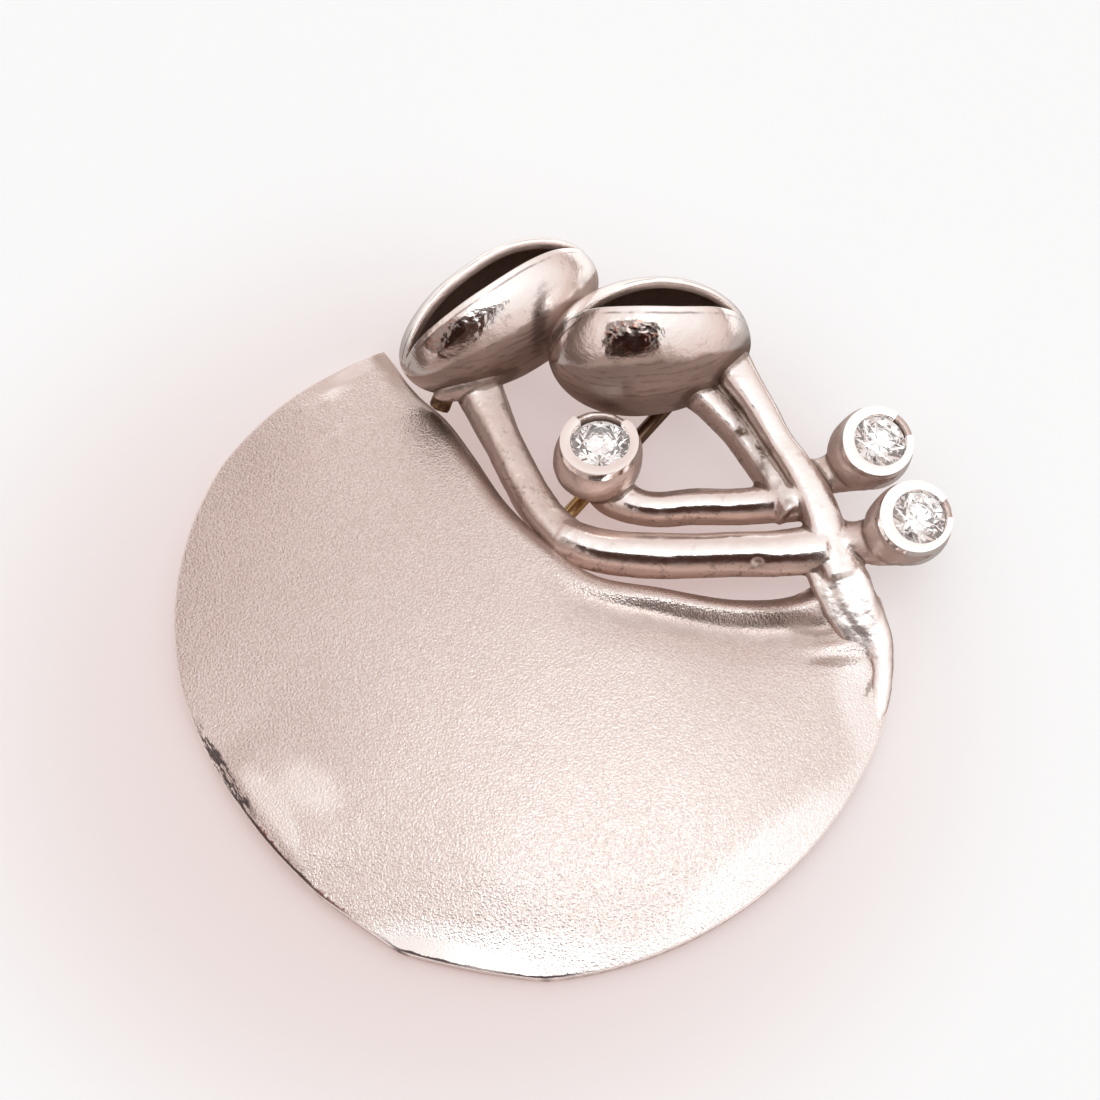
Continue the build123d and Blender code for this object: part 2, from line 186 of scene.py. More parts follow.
class Wire:
    def __init__(self, tree, socket=None):
        self.tree = tree
        self.socket = socket

    def node(self, kind, settings=None, inputs=None, output=0):
        made = self.tree.nodes.new(kind)
        for key, value in (settings or {}).items():
            if key == "stops":
                elements = made.color_ramp.elements
                elements[0].position = value[0][0]
                elements[1].position = value[-1][0]
                for place, tone in value[1:-1]:
                    elements.new(place)
                for element, (place, tone) in zip(elements, value):
                    element.color = (*tone, 1.0)
            else:
                setattr(made, key, value)
        for key, value in (inputs or {}).items():
            if isinstance(value, Wire):
                self.tree.links.new(value.socket, made.inputs[key])
            else:
                made.inputs[key].default_value = value
        return Wire(self.tree, made.outputs[output])

    def maths(self, operation, *terms):
        return self.node("ShaderNodeMath", {"operation": operation}, dict(enumerate(terms)))

    def __add__(self, other):
        return self.maths("ADD", self, other)

    def __radd__(self, other):
        return self.maths("ADD", other, self)

    def __sub__(self, other):
        return self.maths("SUBTRACT", self, other)

    def __rsub__(self, other):
        return self.maths("SUBTRACT", other, self)

    def __mul__(self, other):
        return self.maths("MULTIPLY", self, other)

    def __rmul__(self, other):
        return self.maths("MULTIPLY", other, self)

    def __truediv__(self, other):
        return self.maths("DIVIDE", self, other)

    def ramp(self, low, high):
        # 0 below low, 1 above high, soft between
        return self.node("ShaderNodeMapRange", {"interpolation_type": "SMOOTHSTEP"},
                         {"Value": self, "From Min": low, "From Max": high})

    def grain(self, scale, detail=2.0, roughness=0.5):
        return self.node("ShaderNodeTexNoise", {},
                         {"Vector": self, "Scale": scale, "Detail": detail, "Roughness": roughness})

    def stretched(self, scale, turn=0.0):
        turned = self.node("ShaderNodeMapping", {}, {"Vector": self, "Rotation": (0, 0, radians(turn))})
        return turned.node("ShaderNodeMapping", {}, {"Vector": turned, "Scale": scale})

    def along(self, direction):
        return self.node("ShaderNodeVectorMath", {"operation": "DOT_PRODUCT"},
                         {0: self, 1: direction}, output=1)

    def blend(self, factor, first, second):
        tones = [tone if isinstance(tone, Wire) else (*tone, 1.0) for tone in (first, second)]
        return self.node("ShaderNodeMix", {"data_type": "RGBA"},
                         {0: factor, 6: tones[0], 7: tones[1]}, output=2)

    def mark(self, name):
        # a value kept on the piece's own vertices
        return self.node("ShaderNodeAttribute", {"attribute_name": name}, output=2)

    def bump(self, height, strength, distance, under=None):
        links = {"Height": height, "Strength": strength, "Distance": distance}
        if under:
            links["Normal"] = under
        return self.node("ShaderNodeBump", {}, links)


def newFinish(name):
    material = bpy.data.materials.new(name)
    material.use_nodes = True
    tree = material.node_tree
    shader = tree.nodes["Principled BSDF"]
    place = Wire(tree).node("ShaderNodeTexCoord", output=3)
    return material, shader, place


def feed(shader, inputs):
    for key, value in inputs.items():
        if isinstance(value, Wire):
            value.tree.links.new(value.socket, shader.inputs[key])
        else:
            shader.inputs[key].default_value = value


# Studio: a pale floor in a soft tent that is open where the camera looks in

studio = {
    "azimuth": 0.0,
    "elevation": 65.0,
    "distance": 1.5,
    "frameWidth": 0.05641,
    "target": (-0.00078, 0.00489, 0.00002),
    "floorSize": 3.0,
    "floorTone": (0.36, 0.43, 0.45),
    # the floor looks lit through, so that shadows stay faint and warm, and its glow is a little less round
    # the brooch: a painted shadow, darker and warmer there
    "floorGlow": (0.64, 0.61, 0.605),
    "floorShade": (0.52, 0.385, 0.365),
    "shadeFrom": (-0.0060, -0.0048, 0.0),
    "shadeReach": (0.0135, 0.0335),
    "floorReflected": (0.12, 0.05, 0.03),
    "floorBehind": (0.80, 0.74, 0.71),      # the floor behind the brooch, as its backs reflect it
    "lightFrom": (0.28, -0.09, 0.955),
    # tent tones by height towards the light, from the dark room below to the bright roof
    "tent": [
        (0.00, (0.15, 0.100, 0.085)),
        (0.18, (0.26, 0.185, 0.160)),
        (0.40, (0.80, 0.650, 0.605)),
        (0.60, (0.88, 0.755, 0.715)),
        (0.80, (0.98, 0.910, 0.885)),
        (1.00, (1.20, 1.160, 1.140)),
    ],
    "frontTone": (0.38, 0.275, 0.235),      # the room in front, below the tent's edge
    "backTone": (0.86, 0.74, 0.70),         # the pale sweep behind
    "farTone": (1.35, 1.32, 1.30),          # and the bright floor far behind
    "lampFrom": (0.12, -0.27, 0.955),       # a brighter patch of roof, just above the opening
    "lampTone": (3.0, 3.0, 3.0),
    # the way to the camera is a dark opening: half its width, its foot and its top as seen from the brooch
    "openingTone": (0.055, 0.024, 0.018),
    "openingWidth": 0.46,
    "openingFoot": -0.95,
    "openingTop": 0.07,
    "seenTone": (0.965, 0.955, 0.952),
}


def makeCamera():
    lens = bpy.data.cameras.new("camera")
    lens.sensor_width = 36.0
    lens.lens = lens.sensor_width * studio["distance"] / studio["frameWidth"]
    lens.clip_start = 0.1
    lens.clip_end = 20.0
    camera = bpy.data.objects.new("camera", lens)
    turn, rise = radians(studio["azimuth"]), radians(studio["elevation"])
    back = Vector((sin(turn) * cos(rise), -cos(turn) * cos(rise), sin(rise)))
    camera.location = Vector(studio["target"]) + back * studio["distance"]
    camera.rotation_euler = (-back).to_track_quat("-Z", "Y").to_euler()
    bpy.context.scene.collection.objects.link(camera)
    bpy.context.scene.camera = camera
    return back


def makeFloor():
    mesh = bmesh.new()
    bmesh.ops.create_grid(mesh, x_segments=1, y_segments=1, size=studio["floorSize"] / 2)
    data = bpy.data.meshes.new("floor")
    mesh.to_mesh(data)
    mesh.free()
    material, shader, place = newFinish("paleFloor")
    ray = place.node("ShaderNodeLightPath", output=0)
    # the glow is painted darker and warmer round the brooch, a painted shadow
    near = place.node("ShaderNodeVectorMath", {"operation": "DISTANCE"},
                      {0: place, 1: studio["shadeFrom"]}, output=1)
    lit = place.blend(near.ramp(*studio["shadeReach"]), studio["floorShade"], studio["floorGlow"])
    behind = place.along((0, 1, 0)).ramp(0.016, 0.030)
    reflected = place.blend(behind, studio["floorReflected"], studio["floorBehind"])
    glow = place.blend(ray, reflected, lit)
    feed(shader, {"Base Color": (*studio["floorTone"], 1.0), "Roughness": 0.5,
                  "Specular IOR Level": 0.25, "Emission Color": glow, "Emission Strength": 1.0})
    data.materials.append(material)
    floor = bpy.data.objects.new("floor", data)
    bpy.context.scene.collection.objects.link(floor)


def makeTent(back):
    world = bpy.data.worlds.new("tent")
    bpy.context.scene.world = world
    world.use_nodes = True
    tree = world.node_tree
    tree.nodes.clear()
    way = Wire(tree).node("ShaderNodeTexCoord", output=0)
    height = way.along(Vector(studio["lightFrom"]).normalized())
    tent = way.node("ShaderNodeValToRGB", {"stops": studio["tent"]}, {0: height})
    front = way.along((0, -1, 0)).ramp(0.70, 0.92)
    tent = way.blend(front, tent, studio["frontTone"])
    behind = way.along((0, 1, 0))
    tent = way.blend(behind.ramp(0.55, 0.90), tent, studio["backTone"])
    tent = way.blend(behind.ramp(0.92, 0.985), tent, studio["farTone"])
    lamp = way.along(Vector(studio["lampFrom"]).normalized()).ramp(0.95, 0.985)
    tent = way.blend(lamp, tent, studio["lampTone"])
    # the opening is a rectangle with soft sides round the way to the camera
    ahead = way.along(back)
    ahead = ahead.maths("MAXIMUM", ahead, 0.05)
    across = way.along((1, 0, 0)) / ahead
    over = way.along(Vector((1, 0, 0)).cross(-back)) / ahead
    inside = ahead.ramp(0.05, 0.2)
    half, foot, top = (studio[key] for key in ("openingWidth", "openingFoot", "openingTop"))
    inside = inside * (1 - across.maths("ABSOLUTE", across).ramp(half - 0.05, half + 0.05))
    inside = inside * over.ramp(foot - 0.3, foot + 0.3) * (1 - over.ramp(top - 0.04, top + 0.04))
    tent = way.blend(inside, tent, studio["openingTone"])
    ray = way.node("ShaderNodeLightPath", output=0)
    tent = way.blend(ray, tent, studio["seenTone"])
    glow = way.node("ShaderNodeBackground", {}, {"Color": tent, "Strength": 1.0})
    out = tree.nodes.new("ShaderNodeOutputWorld")
    tree.links.new(glow.socket, out.inputs["Surface"])


bpy.context.scene.view_settings.view_transform = "Standard"
towardsCamera = makeCamera()
makeFloor()
makeTent(towardsCamera)
print("studio made")


# Finishes

goldTone = (0.93, 0.875, 0.85)

leafFinish = {
    "tone": (0.785, 0.722, 0.700),
    "metal": 0.88,                         # the rest of the sandblasted skin scatters light
    "roughness": 0.31,
    "grainScale": 8600.0,
    "grainHeight": 0.00006,
    "grainStrength": 0.6,
    "grainLow": (0.90, 0.86, 0.84),        # the pits of the grain against its tone
    "grainHigh": (1.11, 1.11, 1.11),
    "wornTone": (0.13, 0.11, 0.11),
    "bloomTone": (0.34, 0.17, 0.155),
    "paintedLipTone": (0.54, 0.445, 0.41),        # painted shade on the curl and the valley along the hollow edge
    # a thin dark line painted on the rim's bevel, as the reflection of the dark opening
    "lineTone": (0.10, 0.07, 0.07),
    "rimTone": (0.95, 0.88, 0.86),         # the filed rim
    "rimGlow": (0.26, 0.205, 0.19),        # a glow painted on the filed rim, as the reflection of the pale floor round it
    # painted shade round the stem's foot
    "grimeAndShadeTone": (0.36, 0.275, 0.24),
    "paintedLightTone": (0.98, 0.94, 0.92),        # painted highlights, in bands and patches
}


def makeLeafFinish():
    material, shader, place = newFinish("sandblastedGold")
    cloud = place.grain(150.0, 3.0)
    patch = place.grain(1300.0, 3.0, 0.6)
    fine = place.grain(leafFinish["grainScale"], 1.0, 0.5)
    coarse = place.grain(leafFinish["grainScale"] * 0.5, 2.0, 0.5)
    spark = place.grain(leafFinish["grainScale"] * 1.9, 0.0)
    worn = place.mark("worn")
    bloom = place.mark("bloom")
    polish = place.mark("polish")
    low, high, tone = (leafFinish[key] for key in ("grainLow", "grainHigh", "tone"))
    low = [a * b for a, b in zip(low, tone)]
    high = [a * b for a, b in zip(high, tone)]
    speckle = (fine * 0.7 + spark * 0.3 + (patch - 0.5) * 0.10).ramp(0.34, 0.66)
    speckle = speckle * (1 - polish * 0.8) + polish * 0.4
    tone = place.blend(speckle, low, high)
    # painted highlights in bands and patches
    pale = (place.mark("pale") + (cloud - 0.5) * 0.35 + (patch - 0.5) * 0.2).ramp(0.15, 0.80)
    tone = place.blend(pale * (0.70 + speckle * 0.30), tone, leafFinish["paintedLightTone"])
    # painted shade along the hollow edge: the curl that rolls down, and the valley beside the lip
    lip = (place.mark("lip") + (patch - 0.5) * 0.5).ramp(0.15, 0.85)
    tone = place.blend(lip, tone, leafFinish["paintedLipTone"])
    # painted shade, speckled, round the stem's foot
    grime = (place.mark("grime") + (fine - 0.5) * 1.1).ramp(0.35, 0.80)
    tone = place.blend(grime * 0.75, tone, leafFinish["grimeAndShadeTone"])
    # marks along the rim, by the distance from it in mm
    rimAway = place.mark("rimAway")
    rim = (1 - (rimAway + (patch - 0.5) * 0.05).ramp(0.05, 0.13)) * (1 - place.mark("lip"))
    tone = place.blend(rim, tone, leafFinish["rimTone"])
    streak = place.stretched((900.0, 5200.0, 900.0), 60).grain(1.0, 4.0, 0.7).ramp(0.40, 0.54)
    smear = 1 - (rimAway + (patch - 0.5) * 0.9).ramp(0.28, 0.70)
    smear = worn * streak * smear * rimAway.ramp(0.02, 0.07)
    tone = place.blend(smear.ramp(0.1, 0.5), tone, leafFinish["wornTone"])
    smudge = bloom * (1 - (rimAway + (coarse - 0.5) * 0.5).ramp(0.10, 0.26)) * rimAway.ramp(0.02, 0.05)
    tone = place.blend(smudge.ramp(0.1, 0.8), tone, leafFinish["bloomTone"])
    # the dark line on the rim's bevel is a painted reflection of the dark opening
    line = 1 - (rimAway + (patch - 0.5) * 0.20).ramp(0.12, 0.20)
    line = place.mark("line") * line * rimAway.ramp(0.03, 0.06)
    tone = place.blend(line.ramp(0.15, 0.9), tone, leafFinish["lineTone"])
    rough = leafFinish["roughness"] + (cloud - 0.5) * 0.08 + (spark - 0.5) * 0.25 - polish * 0.20
    grainHeight = (fine * 0.9 + coarse * 0.4) * (1 - polish * 0.9) * (1 - lip * 0.85)
    bump = place.bump(grainHeight, leafFinish["grainStrength"], leafFinish["grainHeight"])
    metal = leafFinish["metal"] - rim * 0.7
    # the filed rim glows with a painted reflection of the pale floor
    glow = place.blend(1 - rimAway.ramp(0.0, 0.025), (0, 0, 0), leafFinish["rimGlow"])
    feed(shader, {"Base Color": tone, "Metallic": metal, "Roughness": rough, "Normal": bump,
                  "Emission Color": glow, "Emission Strength": 1.0})
    return material


castFinish = {
    "tone": goldTone,
    # satin, and painted shade on the faces turned from the light
    "satinAndShadeTone": (0.73, 0.615, 0.57),
    "satinMetal": 0.82,                    # the rest of the satin scatters light
    "paintedLightTone": (0.98, 0.80, 0.72),        # the lower flanks of the runs, painted lighter as reflected light from the leaf
    "polished": 0.14,
    "rough": 0.40,
    "grainScale": 4600.0,
    # stains, and painted shade along the side rod's left wall and under the pods
    "stainAndShadowTone": (0.15, 0.10, 0.075),
    "grimeAndShadeTone": (0.26, 0.185, 0.15),      # grime in its corners, and painted shade there, under the rods and beside the pods
}


def makeCastFinish():
    material, shader, place = newFinish("castGold")
    cloud = place.grain(420.0, 3.0, 0.6)
    patch = place.grain(1100.0, 3.0, 0.6)
    fine = place.grain(castFinish["grainScale"], 2.0, 0.6)
    # polished tops are smoother and painted lighter; the satin flanks are painted darker, as shade
    polish = (place.mark("polish") + (cloud - 0.5) * 0.35 + (patch - 0.5) * 0.45).ramp(0.25, 0.75)
    tone = place.blend(polish, castFinish["satinAndShadeTone"], castFinish["tone"])
    tone = place.blend(patch.ramp(0.60, 0.72) * 0.4, tone, castFinish["satinAndShadeTone"])
    # lower flanks painted lighter, as reflected light from the leaf
    tone = place.blend(place.mark("pale") * (0.75 + fine * 0.5), tone, castFinish["paintedLightTone"])
    skin = (1 - polish) * (patch * 0.5 + fine * 0.5).ramp(0.54, 0.66)
    tone = place.blend(skin * 0.55, tone, castFinish["grimeAndShadeTone"])
    # grime and painted shade: in corners, beside the pods and under the rods
    grime = (place.mark("grime") + (patch - 0.5) * 0.8 + (fine - 0.5) * 0.5).ramp(0.25, 0.85)
    tone = place.blend(grime * 0.8, tone, castFinish["grimeAndShadeTone"])
    # stains, and painted shade along the side rod's left wall and under the pods
    stain = place.mark("stain") * (0.4 + patch.ramp(0.42, 0.58) * 0.6)
    tone = place.blend(stain, tone, castFinish["stainAndShadowTone"])
    gloss = polish * place.mark("gloss") * (1 - grime) * (1 - stain)
    rough = castFinish["rough"] + gloss * (castFinish["polished"] - castFinish["rough"])
    rough = rough + (fine - 0.5) * 0.1 + stain * 0.15
    bump = place.bump((patch * 0.5 + fine * 0.5) * (1.3 - gloss), 0.5, 0.00006)
    metal = castFinish["satinMetal"] + polish * (1 - castFinish["satinMetal"])
    feed(shader, {"Base Color": tone, "Metallic": metal, "Roughness": rough, "Normal": bump})
    return material


podFinish = {
    "tone": goldTone,
    "mirror": 0.13,
    "satin": 0.44,
    # brushed satin, painted darker as a painted reflection of the dark room in front
    "satinAndShadeTone": (0.54, 0.435, 0.395),
    "insideTone": (0.62, 0.50, 0.44),
    # painted dark: the streak reflected from the right pod, and a line beside the lips
    "paintedDarkTone": (0.16, 0.11, 0.10),
    # red-brown in the painted reflection of the dark opening
    "reflectionRedTone": (0.42, 0.15, 0.09),
    "darkTone": (0.17, 0.115, 0.095),      # painted reflection of the dark opening, in patches
    "grimeAndShadeTone": (0.24, 0.17, 0.14),       # grime and painted shade round the stems, and darker brush marks in the satin
    # painted highlight along the lips
    "paintedLipTone": (1.0, 0.97, 0.95),
}


def makePodFinish():
    material, shader, place = newFinish("podGold")
    satin = place.mark("satin")
    hammer = place.mark("hammer")
    inside = place.mark("inside")
    cloud = place.grain(500.0, 3.0, 0.6)
    patch = place.grain(1500.0, 3.0, 0.65)
    brush = place.stretched((700.0, 700.0, 5200.0), 0).grain(1.0, 3.0, 0.65)
    fine = place.grain(3800.0, 2.0, 0.6)
    beaten = place.grain(2600.0, 1.0, 0.5)
    mask = (satin + (cloud - 0.5) * 0.9 + (patch - 0.5) * 0.3).ramp(0.35, 0.75)
    rough = podFinish["mirror"] + patch.ramp(0.35, 0.75) * 0.12
    rough = rough + mask * (podFinish["satin"] - podFinish["mirror"]) + inside * 0.4
    # the satin faces are rougher, and painted darker as a painted reflection of the dark room in front
    tone = place.blend(mask, podFinish["tone"], podFinish["satinAndShadeTone"])
    tone = place.blend(patch.ramp(0.60, 0.72) * 0.35, tone, podFinish["satinAndShadeTone"])
    tone = place.blend(mask * brush.ramp(0.50, 0.66) * 0.5, tone, podFinish["grimeAndShadeTone"])
    # painted reflection of the dark opening, with red-brown in it
    dark = (place.mark("dark") + (patch - 0.5) * 0.55 + (fine - 0.5) * 0.25).ramp(0.42, 0.60)
    tone = place.blend(dark * 0.75, tone, podFinish["darkTone"])
    tone = place.blend(dark * beaten.ramp(0.52, 0.62) * 0.5, tone, podFinish["reflectionRedTone"])
    # grime and painted shade round the stems
    joint = (place.mark("joint") + (cloud - 0.5) * 0.9 + (patch - 0.5) * 0.5).ramp(0.25, 0.80)
    tone = place.blend(joint * 0.75, tone, podFinish["grimeAndShadeTone"])
    # a dark streak painted as the reflection of the right pod
    streak = (place.mark("streak") + (brush - 0.5) * 0.7 + (fine - 0.5) * 0.3).ramp(0.25, 0.95)
    tone = place.blend(streak * 0.85, tone, podFinish["paintedDarkTone"])
    # painted along the lips: a highlight on the lip, and a thin dark line just behind it
    lipAway = place.mark("lipAway") + (cloud - 0.5) * 0.16
    lipLine = lipAway.ramp(0.30, 0.36) * (1 - lipAway.ramp(0.40, 0.48)) * cloud.ramp(0.40, 0.55)
    tone = place.blend(lipLine * 0.6, tone, podFinish["paintedDarkTone"])
    tone = place.blend((1 - lipAway.ramp(0.20, 0.34)) * (1 - inside), tone, podFinish["paintedLipTone"])
    tone = place.blend(inside, tone, podFinish["insideTone"])
    bump = place.bump(brush * 0.6 + fine * 0.6, 0.5, 0.00004)
    bump = place.bump(beaten * hammer, 0.6, 0.00008, bump)
    feed(shader, {"Base Color": tone, "Metallic": 1.0, "Roughness": rough, "Normal": bump})
    return material


rimFinish = {
    "tone": (1.0, 0.965, 0.945),
    "polished": 0.07,
    "rougherBelow": 0.22,                  # in patches, below the rim
    "bump": 0.12,
    "bumpHeight": 0.00006,
}


def makeRimFinish():
    material, shader, place = newFinish("polishedRim")
    cloud = place.grain(900.0, 3.0, 0.6)
    low = place.mark("low")
    rough = rimFinish["polished"] + (low * cloud.ramp(0.3, 0.7)) * rimFinish["rougherBelow"]
    bump = place.bump(cloud, rimFinish["bump"], rimFinish["bumpHeight"])
    feed(shader, {"Base Color": (*rimFinish["tone"], 1.0), "Metallic": 1.0, "Roughness": rough,
                  "Normal": bump})
    return material


solderFinish = {
    "darkTone": (0.16, 0.10, 0.06),
    "lightTone": (0.42, 0.29, 0.17),
    "roughness": 0.34,
    "bump": 0.6,
    "bumpHeight": 0.0001,
}


def makeSolderFinish():
    material, shader, place = newFinish("darkSolder")
    cloud = place.grain(1400.0, 3.0, 0.6)
    tone = place.blend(cloud.ramp(0.35, 0.65), solderFinish["darkTone"], solderFinish["lightTone"])
    rough = solderFinish["roughness"] + cloud * 0.15
    bump = place.bump(cloud, solderFinish["bump"], solderFinish["bumpHeight"])
    feed(shader, {"Base Color": tone, "Metallic": 1.0, "Roughness": rough, "Normal": bump})
    return material


stoneFinish = {
    "ior": 2.42,
    "glowTone": (0.95, 0.92, 0.90),        # a faint light in the facets that would stay black
    "glow": 0.03,
}


def makeStoneFinish():
    material, shader, _ = newFinish("clearStone")
    feed(shader, {"Base Color": (1.0, 1.0, 1.0, 1.0), "Roughness": 0.0, "IOR": stoneFinish["ior"],
                  "Transmission Weight": 1.0, "Emission Color": (*stoneFinish["glowTone"], 1.0),
                  "Emission Strength": stoneFinish["glow"]})
    return material


pinFinish = {
    "tone": (0.83, 0.62, 0.30),
    "drawnTone": (0.74, 0.53, 0.26),
    # painted shade on the pin towards the hinge, under the right pod
    "hingeShadeTone": (0.20, 0.13, 0.09),
    "hingeShadeFrom": (0.008, 0.010),         # in m towards the hinge, where it begins and is full
    "roughness": 0.2,
}


def makePinFinish():
    material, shader, place = newFinish("yellowGold")
    draw = place.grain(1500.0, 2.0)
    tone = place.blend(draw.ramp(0.35, 0.65), pinFinish["tone"], pinFinish["drawnTone"])
    # the pin is painted darker towards the hinge, as shade under the right pod
    hingeEnd = place.along((0, 1, 0)).ramp(*pinFinish["hingeShadeFrom"])
    tone = place.blend(hingeEnd, tone, pinFinish["hingeShadeTone"])
    feed(shader, {"Base Color": tone, "Metallic": 1.0, "Roughness": pinFinish["roughness"] + draw * 0.1})
    return material


leafGold = makeLeafFinish()
castGold = makeCastFinish()
podGold = makePodFinish()
rimGold = makeRimFinish()
solderMetal = makeSolderFinish()
stoneGlass = makeStoneFinish()
pinGold = makePinFinish()
print("finishes made")


# The leaf: a grid drawn out to the outline, raised to the dome and its marks, and given its sheet

leaf = {
    "rise": 3.4,
    "foot": 1.03,                    # the dome would meet its foot at this share of the radius
    "sheet": 0.8,
    "leastRise": 0.03,
    "steps": 190,
    "edgeRound": 0.00013,
    "star": (0.15, -0.35),           # the whole outline is in sight of this place
    "roundMiddle": -100.0,           # the way from there to the middle of the round edge
    "roundReach": (105, 115),        # degrees from it where the softened edge gives way to true corners
    "evenOver": 32,                  # half degrees each way that the grid inside the rim is evened over
    "softOver": 7,                   # and that the round edge is softened over
    "tip": (-0.42, 0.90),
    "roundEdge": [                   # arcs through a middle point to an end point
        ((-0.66, 0.77), (-0.88, 0.545)),
        ((-0.995, 0.20), (-0.975, -0.17)),
        ((-0.835, -0.475), (-0.60, -0.77)),
        ((-0.51, -0.84), (-0.38, -0.935)),
        ((-0.18, -0.99), (0.03, -1.02)),
        ((0.52, -0.85), (0.91, -0.40)),
        ((0.99, -0.13), (0.96, 0.15)),
    ],
    "hollowEdge": [
        (0.81, 0.170), (0.735, 0.124), (0.57, 0.102), (0.35, 0.121), (0.155, 0.158), (0.05, 0.24),
        (-0.085, 0.39), (-0.17, 0.54), (-0.25, 0.67), (-0.335, 0.765), (-0.42, 0.90),
    ],
    # soft hollows and rises: place, reach along and across in mm, turn, depth in mm
    "dents": [
        ((0.56, -0.04), 2.9, 2.9, 0, -0.30),
        ((-0.78, -0.30), 4.0, 4.0, 0, -0.25),
        ((-0.62, 0.62), 3.7, 3.7, 0, 0.30),
        ((-0.10, -0.72), 4.0, 4.0, 0, 0.17),
        ((0.62, -0.52), 5.5, 5.5, 0, 0.17),
        ((-0.545, 0.80), 1.1, 0.55, 36, -0.16),
        ((-0.557, 0.622), 0.50, 0.28, 25, 0.12),
        ((-0.575, 0.600), 0.45, 0.30, 25, -0.10),
        ((-0.647, 0.705), 0.22, 0.18, 0, 0.09),
        ((-0.577, 0.726), 0.30, 0.22, 0, 0.08),
        ((0.890, 0.050), 2.6, 1.25, -62, 0.42),
        ((0.825, 0.045), 2.3, 1.35, -5, 0.26),
        ((0.785, 0.018), 1.20, 0.50, -3, -0.13),
        ((0.830, -0.035), 1.60, 0.30, 8, 0.13),
    ],
    # creases: from, to, width inside and outside in mm, height in mm
    "creases": [
        ((-0.850, -0.375), (-0.640, -0.690), 2.4, 0.45, 0.14),
    ],
    "creaseFade": (1.2, 0.8),        # mm that its ends fade over, outside and inside
    # the curl, lip and valley along the hollow edge, in mm and in shares of that edge from its right end
    "rollDown": 0.90,
    "rollWidth": 1.10,
    "rollEnds": (0.02, 0.22, 0.90, 1.0),
    "lipEnds": (0.25, 0.52),
    "lipHeight": 0.32,
    "lipPlace": 0.98,
    "lipWidth": 0.48,
    "valleyDepth": 0.30,
    "valleyPlace": 2.35,
    "valleyWidth": 1.10,
    "valleyShade": (1.0, 1.7, 2.1, 3.5),     # mm from the hollow edge: begins, full, fades, ends
    "uneven": 0.012,
    "unevenScale": 0.55,
    # marks: place, reach along and across in mm, turn
    "polishPlaces": [((-0.545, 0.80), 1.5, 0.75, 36), ((-0.25, -0.95), 5.6, 1.0, -10)],
    # painted highlights
    "highlightPlaces": [((-0.730, -0.525), 2.9, 0.70, -60), ((-0.730, -0.525), 1.6, 0.45, -60),
                   ((-0.625, -0.465), 2.0, 1.3, -40), ((-0.27, -0.93), 4.2, 1.3, -10),
                   ((-0.02, -0.96), 6.0, 1.2, 0), ((-0.50, 0.84), 1.6, 0.5, 30),
                   ((0.900, -0.190), 3.2, 1.2, -78), ((0.66, -0.66), 7.5, 1.5, 42)],
    "wornPlace": ((-0.865, -0.395), 2.6, 1.4, -60),
    "bloomPlaces": [((-0.730, -0.605), 1.9, 0.4, -50), ((-0.565, -0.775), 1.7, 0.4, -38)],
    # where the rim's bevel is painted with the dark reflection
    "linePlaces": [((-0.700, -0.640), 4.6, 1.2, -48), ((-0.300, -0.965), 3.2, 1.0, -14),
                   ((0.02, -1.0), 2.6, 1.0, 0)],
    # painted shade below the ridge at the stem's foot and in the hollows beside it
    "shadePlaces": [((0.830, -0.078), 1.7, 0.38, 8), ((0.775, 0.020), 1.0, 0.40, 0),
                    ((0.928, -0.024), 1.1, 0.30, -58), ((0.930, -0.140), 0.9, 0.20, 67),
                    ((0.700, 0.040), 2.4, 0.55, -6)],
    "underCut": 0.22,                # the sheet is filed under at its rim
}


def leafOutline():
    points = [leaf["tip"]]
    for middle, end in leaf["roundEdge"]:
        points += arcThrough(points[-1], middle, end, 24)
    hollow = [tuple(row) for row in smoothRows(leaf["hollowEdge"], 14)]
    return points + hollow[:-1], hollow


def awayFromLine(x, y, line):
    # distance to a line of points, and how far along it the nearest point is, from 0 to 1
    line = np.array(line) * leafRadius
    best = np.full(x.shape, 1e9)
    share = np.zeros(x.shape)
    for i, (start, end) in enumerate(zip(line, line[1:])):
        run = end - start
        t = np.clip(((x - start[0]) * run[0] + (y - start[1]) * run[1]) / (run @ run), 0, 1)
        away = np.hypot(x - start[0] - t * run[0], y - start[1] - t * run[1])
        nearer = away < best
        best = np.where(nearer, away, best)
        share = np.where(nearer, (i + t) / (len(line) - 1), share)
    return best, share


def softStep(value, low, high):
    t = np.clip((value - low) / (high - low), 0, 1)
    return t * t * (3 - 2 * t)


def bumpAt(x, y, place, long, wide, turn):
    across, along = x - place[0] * leafRadius, y - place[1] * leafRadius
    c, s = cos(radians(turn)), sin(radians(turn))
    return np.exp(-((across * c + along * s) / long) ** 2 - ((along * c - across * s) / wide) ** 2)


